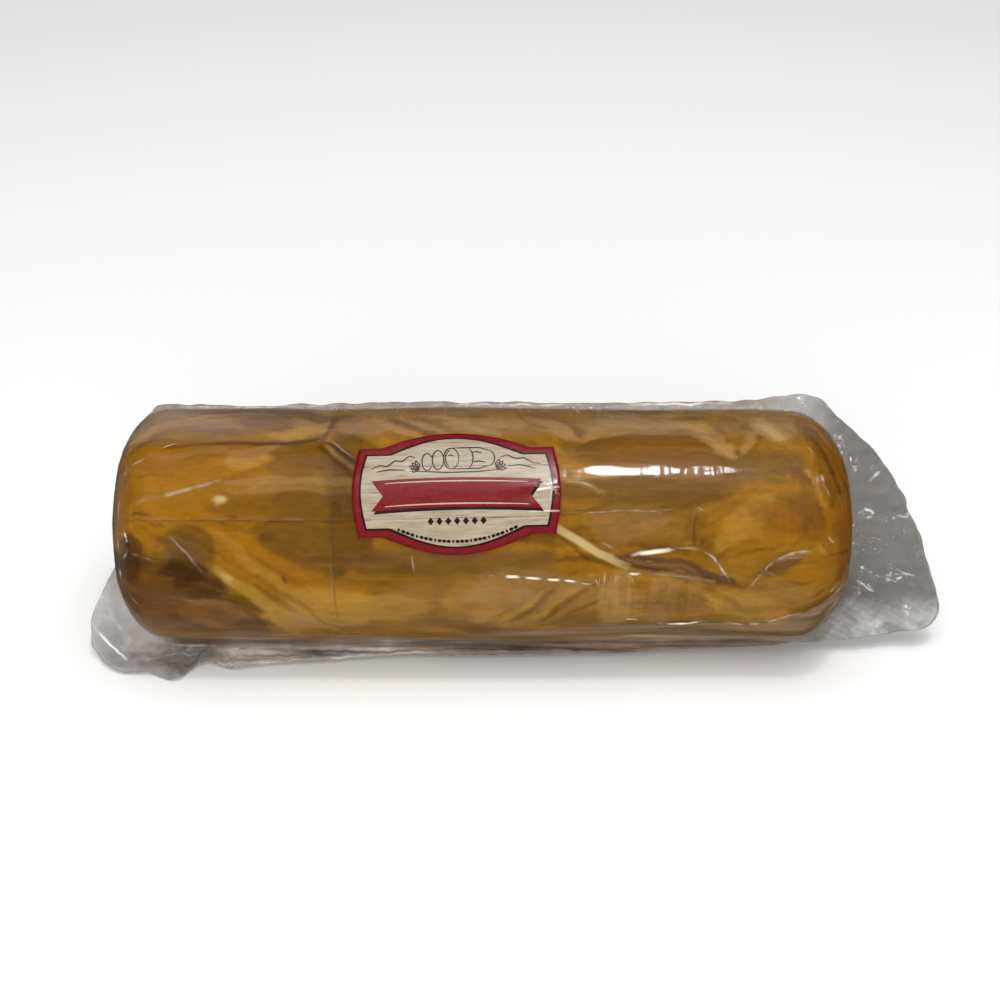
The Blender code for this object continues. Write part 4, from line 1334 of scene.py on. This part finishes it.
def on_log(along, up, lift):
    """Points of the log's outside with the label's wrinkles, from flat label places in metres."""
    x = LABEL_X + along * math.cos(LABEL_TILT) - up * math.sin(LABEL_TILT)
    angle = LABEL_ANGLE + (up * math.cos(LABEL_TILT) + along * math.sin(LABEL_TILT)) / LOG_RADIUS
    wrinkles = np.zeros(len(x))
    for half_width, height, *route in LABEL_WRINKLES:
        distance, _, share, _ = from_route(unrolled(x, angle), route)
        ridge = height / 1000 * tapered(share) * np.exp(-((distance / half_width) ** 2))
        wrinkles = np.maximum(wrinkles, ridge)
    radius = LOG_RADIUS + BARREL_SWELL + log_relief(x, angle) + wrinkles + lift
    return in_place(around_axis(x, angle, radius), 0)


label, grid_i, grid_j = add_grid("paper_label", LABEL_COLUMNS, LABEL_ROWS)
ring = np.minimum.reduce([grid_i, LABEL_COLUMNS - grid_i, grid_j, LABEL_ROWS - grid_j])
ring = np.minimum(ring, len(RING_INSETS) - 1)
across = 2 * (grid_i - ring) / (LABEL_COLUMNS - 2 * ring) - 1
up = 2 * (grid_j - ring) / (LABEL_ROWS - 2 * ring) - 1
label_u, label_v = on_plaque(across, up, np.array(RING_INSETS)[ring])
label_places = on_log(label_u, label_v, LABEL_GAP + LABEL_THICKNESS)
label.data.vertices.foreach_set("co", label_places.ravel())
printed = label.data.uv_layers[0]
printed.name = "print"
corner_vertex = np.empty(len(label.data.loops), int)
label.data.loops.foreach_get("vertex_index", corner_vertex)
PER_DECIMETRE = 10
flat = PER_DECIMETRE * np.column_stack([label_u, label_v])
printed.data.foreach_set("uv", flat[corner_vertex].ravel())
label_here = unrolled(LABEL_X + label_u, LABEL_ANGLE + label_v / LOG_RADIUS)
glint_offset, glint_strength = nearest_line(label_here, LABEL_GLINTS, 3)
keep(label, glint_offset=glint_offset, glint_strength=glint_strength)
for face in label.data.polygons:
    rings = min(ring[index] for index in face.vertices)
    face.material_index = max(rings - 1, 0)  # two rings of border, one of dark line, the boards
bpy.ops.object.shade_smooth()
# the pale colour of the highlights painted on the label
GLINT_ON_PAPER = (0.9, 0.88, 0.85)


def varnish(tree, shader, colour, **inputs):
    """Gives a printed colour the film's glints as painted highlights, and a thin gloss."""
    lit = blended(tree, "MIX", line_mask(tree, "glint", 0.35, 1.1), colour, GLINT_ON_PAPER)
    set_inputs(tree, shader, Base_Color=lit, Coat_Weight=0.4, Coat_Roughness=0.12, **inputs)


def paper_finish(name, colour, worn):
    """Printed, varnished paper in one colour."""
    material, tree, shader = new_finish(name)
    mottle = grain_of(tree, own_place(tree), 500, 4)
    tone = ranged(tree, mottle, 0.3, 0.7, 1 - worn, 1 + worn)
    varnish(
        tree,
        shader,
        blended(tree, "MULTIPLY", 1.0, colour, tone),
        Roughness=ranged(tree, mottle, 0.3, 0.7, 0.28, 0.4),
        Normal=add_node(tree, "Bump", Height=mottle, Strength=0.15, Distance=0.0002).outputs[0],
    )
    return material


red_ink = paper_finish("red_ink", from_screen(114, 14, 22), 0.12)
dark_ink = paper_finish("dark_ink", from_screen(38, 22, 18), 0.10)

boards, tree, shader = new_finish("whitewashed_boards")
WASH, THIN_WASH = from_screen(174, 161, 139), from_screen(146, 130, 108)
BARE_WOOD, GAP_SHADE = from_screen(108, 90, 72), from_screen(66, 50, 40)
HALF_BOARD = 0.052  # decimetres, as all sizes in this finish
flat_place = add_node(tree, "UVMap")
flat_place.uv_map = "print"
flat_place = flat_place.outputs[0]
grain = grain_of(tree, flat_place, 3, 6, 0, (2.5, 22, 1), 0.7)
blotch = grain_of(tree, flat_place, 9, 4)
height_up = add_node(tree, "SeparateXYZ", Vector=flat_place).outputs["Y"]
wavy = calculated(tree, "ADD", height_up, calculated(tree, "MULTIPLY", grain, 0.014))
gap = ranged(tree, calculated(tree, "PINGPONG", wavy, HALF_BOARD), 0.0010, 0.0028, 1, 0)
gap_line = calculated(tree, "MULTIPLY", gap, ranged(tree, blotch, 0.40, 0.58, 0.1, 0.8))
wash = blended(tree, "MIX", ranged(tree, grain, 0.35, 0.65, 0, 1), WASH, THIN_WASH)
scuff, scuff_patch = ranged(tree, grain, 0.58, 0.66, 0, 0.7), ranged(tree, blotch, 0.45, 0.6, 0, 1)
scuffed = blended(tree, "MIX", calculated(tree, "MULTIPLY", scuff, scuff_patch), wash, BARE_WOOD)
varnish(tree, shader, blended(tree, "MIX", gap_line, scuffed, GAP_SHADE), Roughness=0.34)
for finish in (red_ink, dark_ink, boards):
    label.data.materials.append(finish)
thickness = label.modifiers.new("thickness", "SOLIDIFY")
thickness.thickness = LABEL_THICKNESS
thickness.offset = -1
bpy.ops.object.modifier_apply(modifier="thickness")
bpy.ops.object.select_all(action="DESELECT")
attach(label, "root")
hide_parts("label")


# ---- The label's print ----
# Ink on the paper, in two colours: a ribbon across the middle with its shadow, a line drawing of
# a cut cheese with leaves over low hills, a row of diamonds, and a curved row of dashes.

INK_LAYER = 0.00006
INK_LIFT = LABEL_GAP + LABEL_THICKNESS + INK_LAYER
# Sizes on the flat label, in mm
RIBBON_HALF = (33.0, 5.9)
RIBBON_NOTCH = 4.5
RIBBON_ARCH = 1.2
RIBBON_UP = -2.2
SHADOW_SHIFT = (0.7, -1.1)
LINE_HALF = 0.27
DIAMONDS = 7
DIAMOND_GAP = 3.4
DIAMONDS_UP = -12.2
DASHES = 27
DASH_REACH = 22.6  # each way from the label's middle
DASH_LOW = -20.0
DASH_RISE = 7.6  # at the bow's span
DASH_SPAN = 28


def inked(name, count_along, count_up, shape, lift):
    """A patch of ink: a grid that shape puts on the flat label, from its shares along and up."""
    patch, column, row = add_grid(name, count_along, count_up)
    along, up = shape(2 * column / count_along - 1, 2 * row / count_up - 1)
    patch.data.vertices.foreach_set("co", on_log(along / 1000, up / 1000, lift).ravel())
    bpy.ops.object.shade_smooth()
    patch.select_set(False)
    return patch


def ribbon(share_along, share_up):
    """A ribbon that arches a little, with a notch in each end."""
    near_end = np.sign(share_along) * smooth_step(np.abs(share_along), 0.7, 1)
    along = RIBBON_HALF[0] * share_along - RIBBON_NOTCH * (1 - np.abs(share_up)) * near_end
    return along, RIBBON_UP + RIBBON_HALF[1] * share_up + RIBBON_ARCH * (1 - share_along**2)


def ribbon_shadow(share_along, share_up):
    """The same ribbon, shifted."""
    along, up = ribbon(share_along, share_up)
    return along + SHADOW_SHIFT[0], up + SHADOW_SHIFT[1]


def pen_line(route, half, lift=INK_LIFT):
    """A pen stroke along a route of (mm, mm)."""
    route = np.array(route, float)
    steps = np.concatenate([[0], np.cumsum(np.hypot(*np.diff(route, axis=0).T))])

    def reached(at):
        return np.array([np.interp(at, steps, route[:, axis]) for axis in range(2)])

    def shape(share_along, share_up):
        at = (share_along + 1) / 2 * steps[-1]
        along, up = reached(at)
        run = reached(at + 0.2) - reached(at - 0.2)
        run /= np.hypot(*run)
        width = half * share_up * (0.55 + 0.45 * np.sin(math.pi * (share_along + 1) / 2))
        return along - run[1] * width, up + run[0] * width

    return inked("pen_line", max(6, int(steps[-1])), 1, shape, lift)


def arc(middle, half_along, half_up, start, stop, count=14):
    """Points on an ellipse between two angles in degrees."""
    turns = np.radians(np.linspace(start, stop, count))
    return [(middle[0] + half_along * math.cos(t), middle[1] + half_up * math.sin(t)) for t in turns]


def diamond(centre):
    """The shape of a diamond that far along."""

    def shape(share_along, share_up):
        along = centre + 0.62 * (share_along + share_up)
        return along, DIAMONDS_UP + 0.75 * (share_up - share_along)

    return shape


CHEESE_UP = 13.0
drawing = [
    arc((-2, CHEESE_UP), 3.0, 4.6, 0, 360, 26),
    arc((-2, CHEESE_UP), 2.2, 3.7, 100, 250),
    [(-2, CHEESE_UP + 4.6), (9, CHEESE_UP + 4.8), (13, CHEESE_UP + 3.4)],
    [(-2, CHEESE_UP - 4.6), (9, CHEESE_UP - 4.4), (13, CHEESE_UP - 3.2)],
    arc((12.6, CHEESE_UP + 0.1), 2.4, 3.4, -80, 80),
    arc((4, CHEESE_UP), 2.6, 4.5, -70, 70),
    arc((-7.2, CHEESE_UP - 0.6), 2.2, 4.2, 0, 360, 22),
    arc((-11.4, CHEESE_UP - 1.4), 2.0, 3.8, 30, 330, 20),
    [(-16, CHEESE_UP - 5.4), (-4, CHEESE_UP - 6.0), (8, CHEESE_UP - 5.8), (17, CHEESE_UP - 5.0)],
    [(-33, 8.5), (-30, 10.2), (-27, 9.6), (-24, 12.2), (-21, 11.8), (-18.5, 14.2), (-16, 13.4)],
    [(-31, 7.4), (-26, 8.2), (-20, 8.0)],
    [(17, 13.2), (20, 14.4), (23, 12.6), (26.5, 12.9), (30, 10.6), (33, 10.2)],
    [(20, 9.4), (25, 9.9), (31, 8.2)],
    [(6, CHEESE_UP + 2.6), (8, CHEESE_UP + 2.9), (10, CHEESE_UP + 2.4)],
    [(6.5, CHEESE_UP - 1.6), (9, CHEESE_UP - 1.3), (11.5, CHEESE_UP - 1.8)],
    [(-3.4, CHEESE_UP + 1), (-2.2, CHEESE_UP + 1.6), (-1, CHEESE_UP + 0.9)],
]
LEAVES = 4
LEAF_LENGTH, LEAF_HALF = 4.2, 0.9
for stem, tilt in (((15.5, CHEESE_UP - 4.4), 35), ((-14.5, CHEESE_UP - 4.8), 145)):
    for leaf in range(LEAVES):
        turn = math.radians(tilt + 24 * (leaf - (LEAVES - 1) / 2))
        forward = np.array([math.cos(turn), math.sin(turn)])
        middle = stem + forward * LEAF_LENGTH / 2
        side = LEAF_HALF * np.array([-forward[1], forward[0]])
        for edge in (middle + side, middle - side):
            drawing.append([stem, edge, stem + forward * LEAF_LENGTH])
prints = [pen_line(route, LINE_HALF) for route in drawing]
for number in range(DIAMONDS):
    shape = diamond((number - (DIAMONDS - 1) / 2) * DIAMOND_GAP)
    prints.append(inked("diamond", 2, 2, shape, INK_LIFT))
for number in range(DASHES):
    centre = DASH_REACH * (2 * number / (DASHES - 1) - 1)
    low = DASH_LOW + DASH_RISE * (centre / DASH_SPAN) ** 2
    slope = 2 * DASH_RISE * centre / DASH_SPAN**2
    half = 0.75 if number % 4 else 0.4
    ends = [(centre - half, low - half * slope), (centre + half, low + half * slope)]
    prints.append(pen_line(ends, 0.62))
shadow = inked("ribbon_shadow", 60, 8, ribbon_shadow, INK_LIFT)
inlay = []
for share_up in (-0.76, 0.76):
    route = [ribbon(share, share_up) for share in np.linspace(-0.86, 0.86, 24)]
    inlay.append(pen_line(route, 0.3, INK_LIFT + 2 * INK_LAYER))
band = inked("ribbon", 60, 8, ribbon, INK_LIFT + INK_LAYER)
prints.append(shadow)
pale_ink = paper_finish("pale_ink", from_screen(176, 158, 132), 0.1)
for pieces, ink in ((prints, dark_ink), (inlay, pale_ink), ([band], red_ink)):
    for piece in pieces:
        piece.data.materials.append(ink)
        piece.select_set(True)
bpy.context.view_layer.objects.active = band
bpy.ops.object.join()
label_print = bpy.context.object
label_print.name = "label_print"
bpy.ops.object.select_all(action="DESELECT")
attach(label_print, "root")
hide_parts("label")
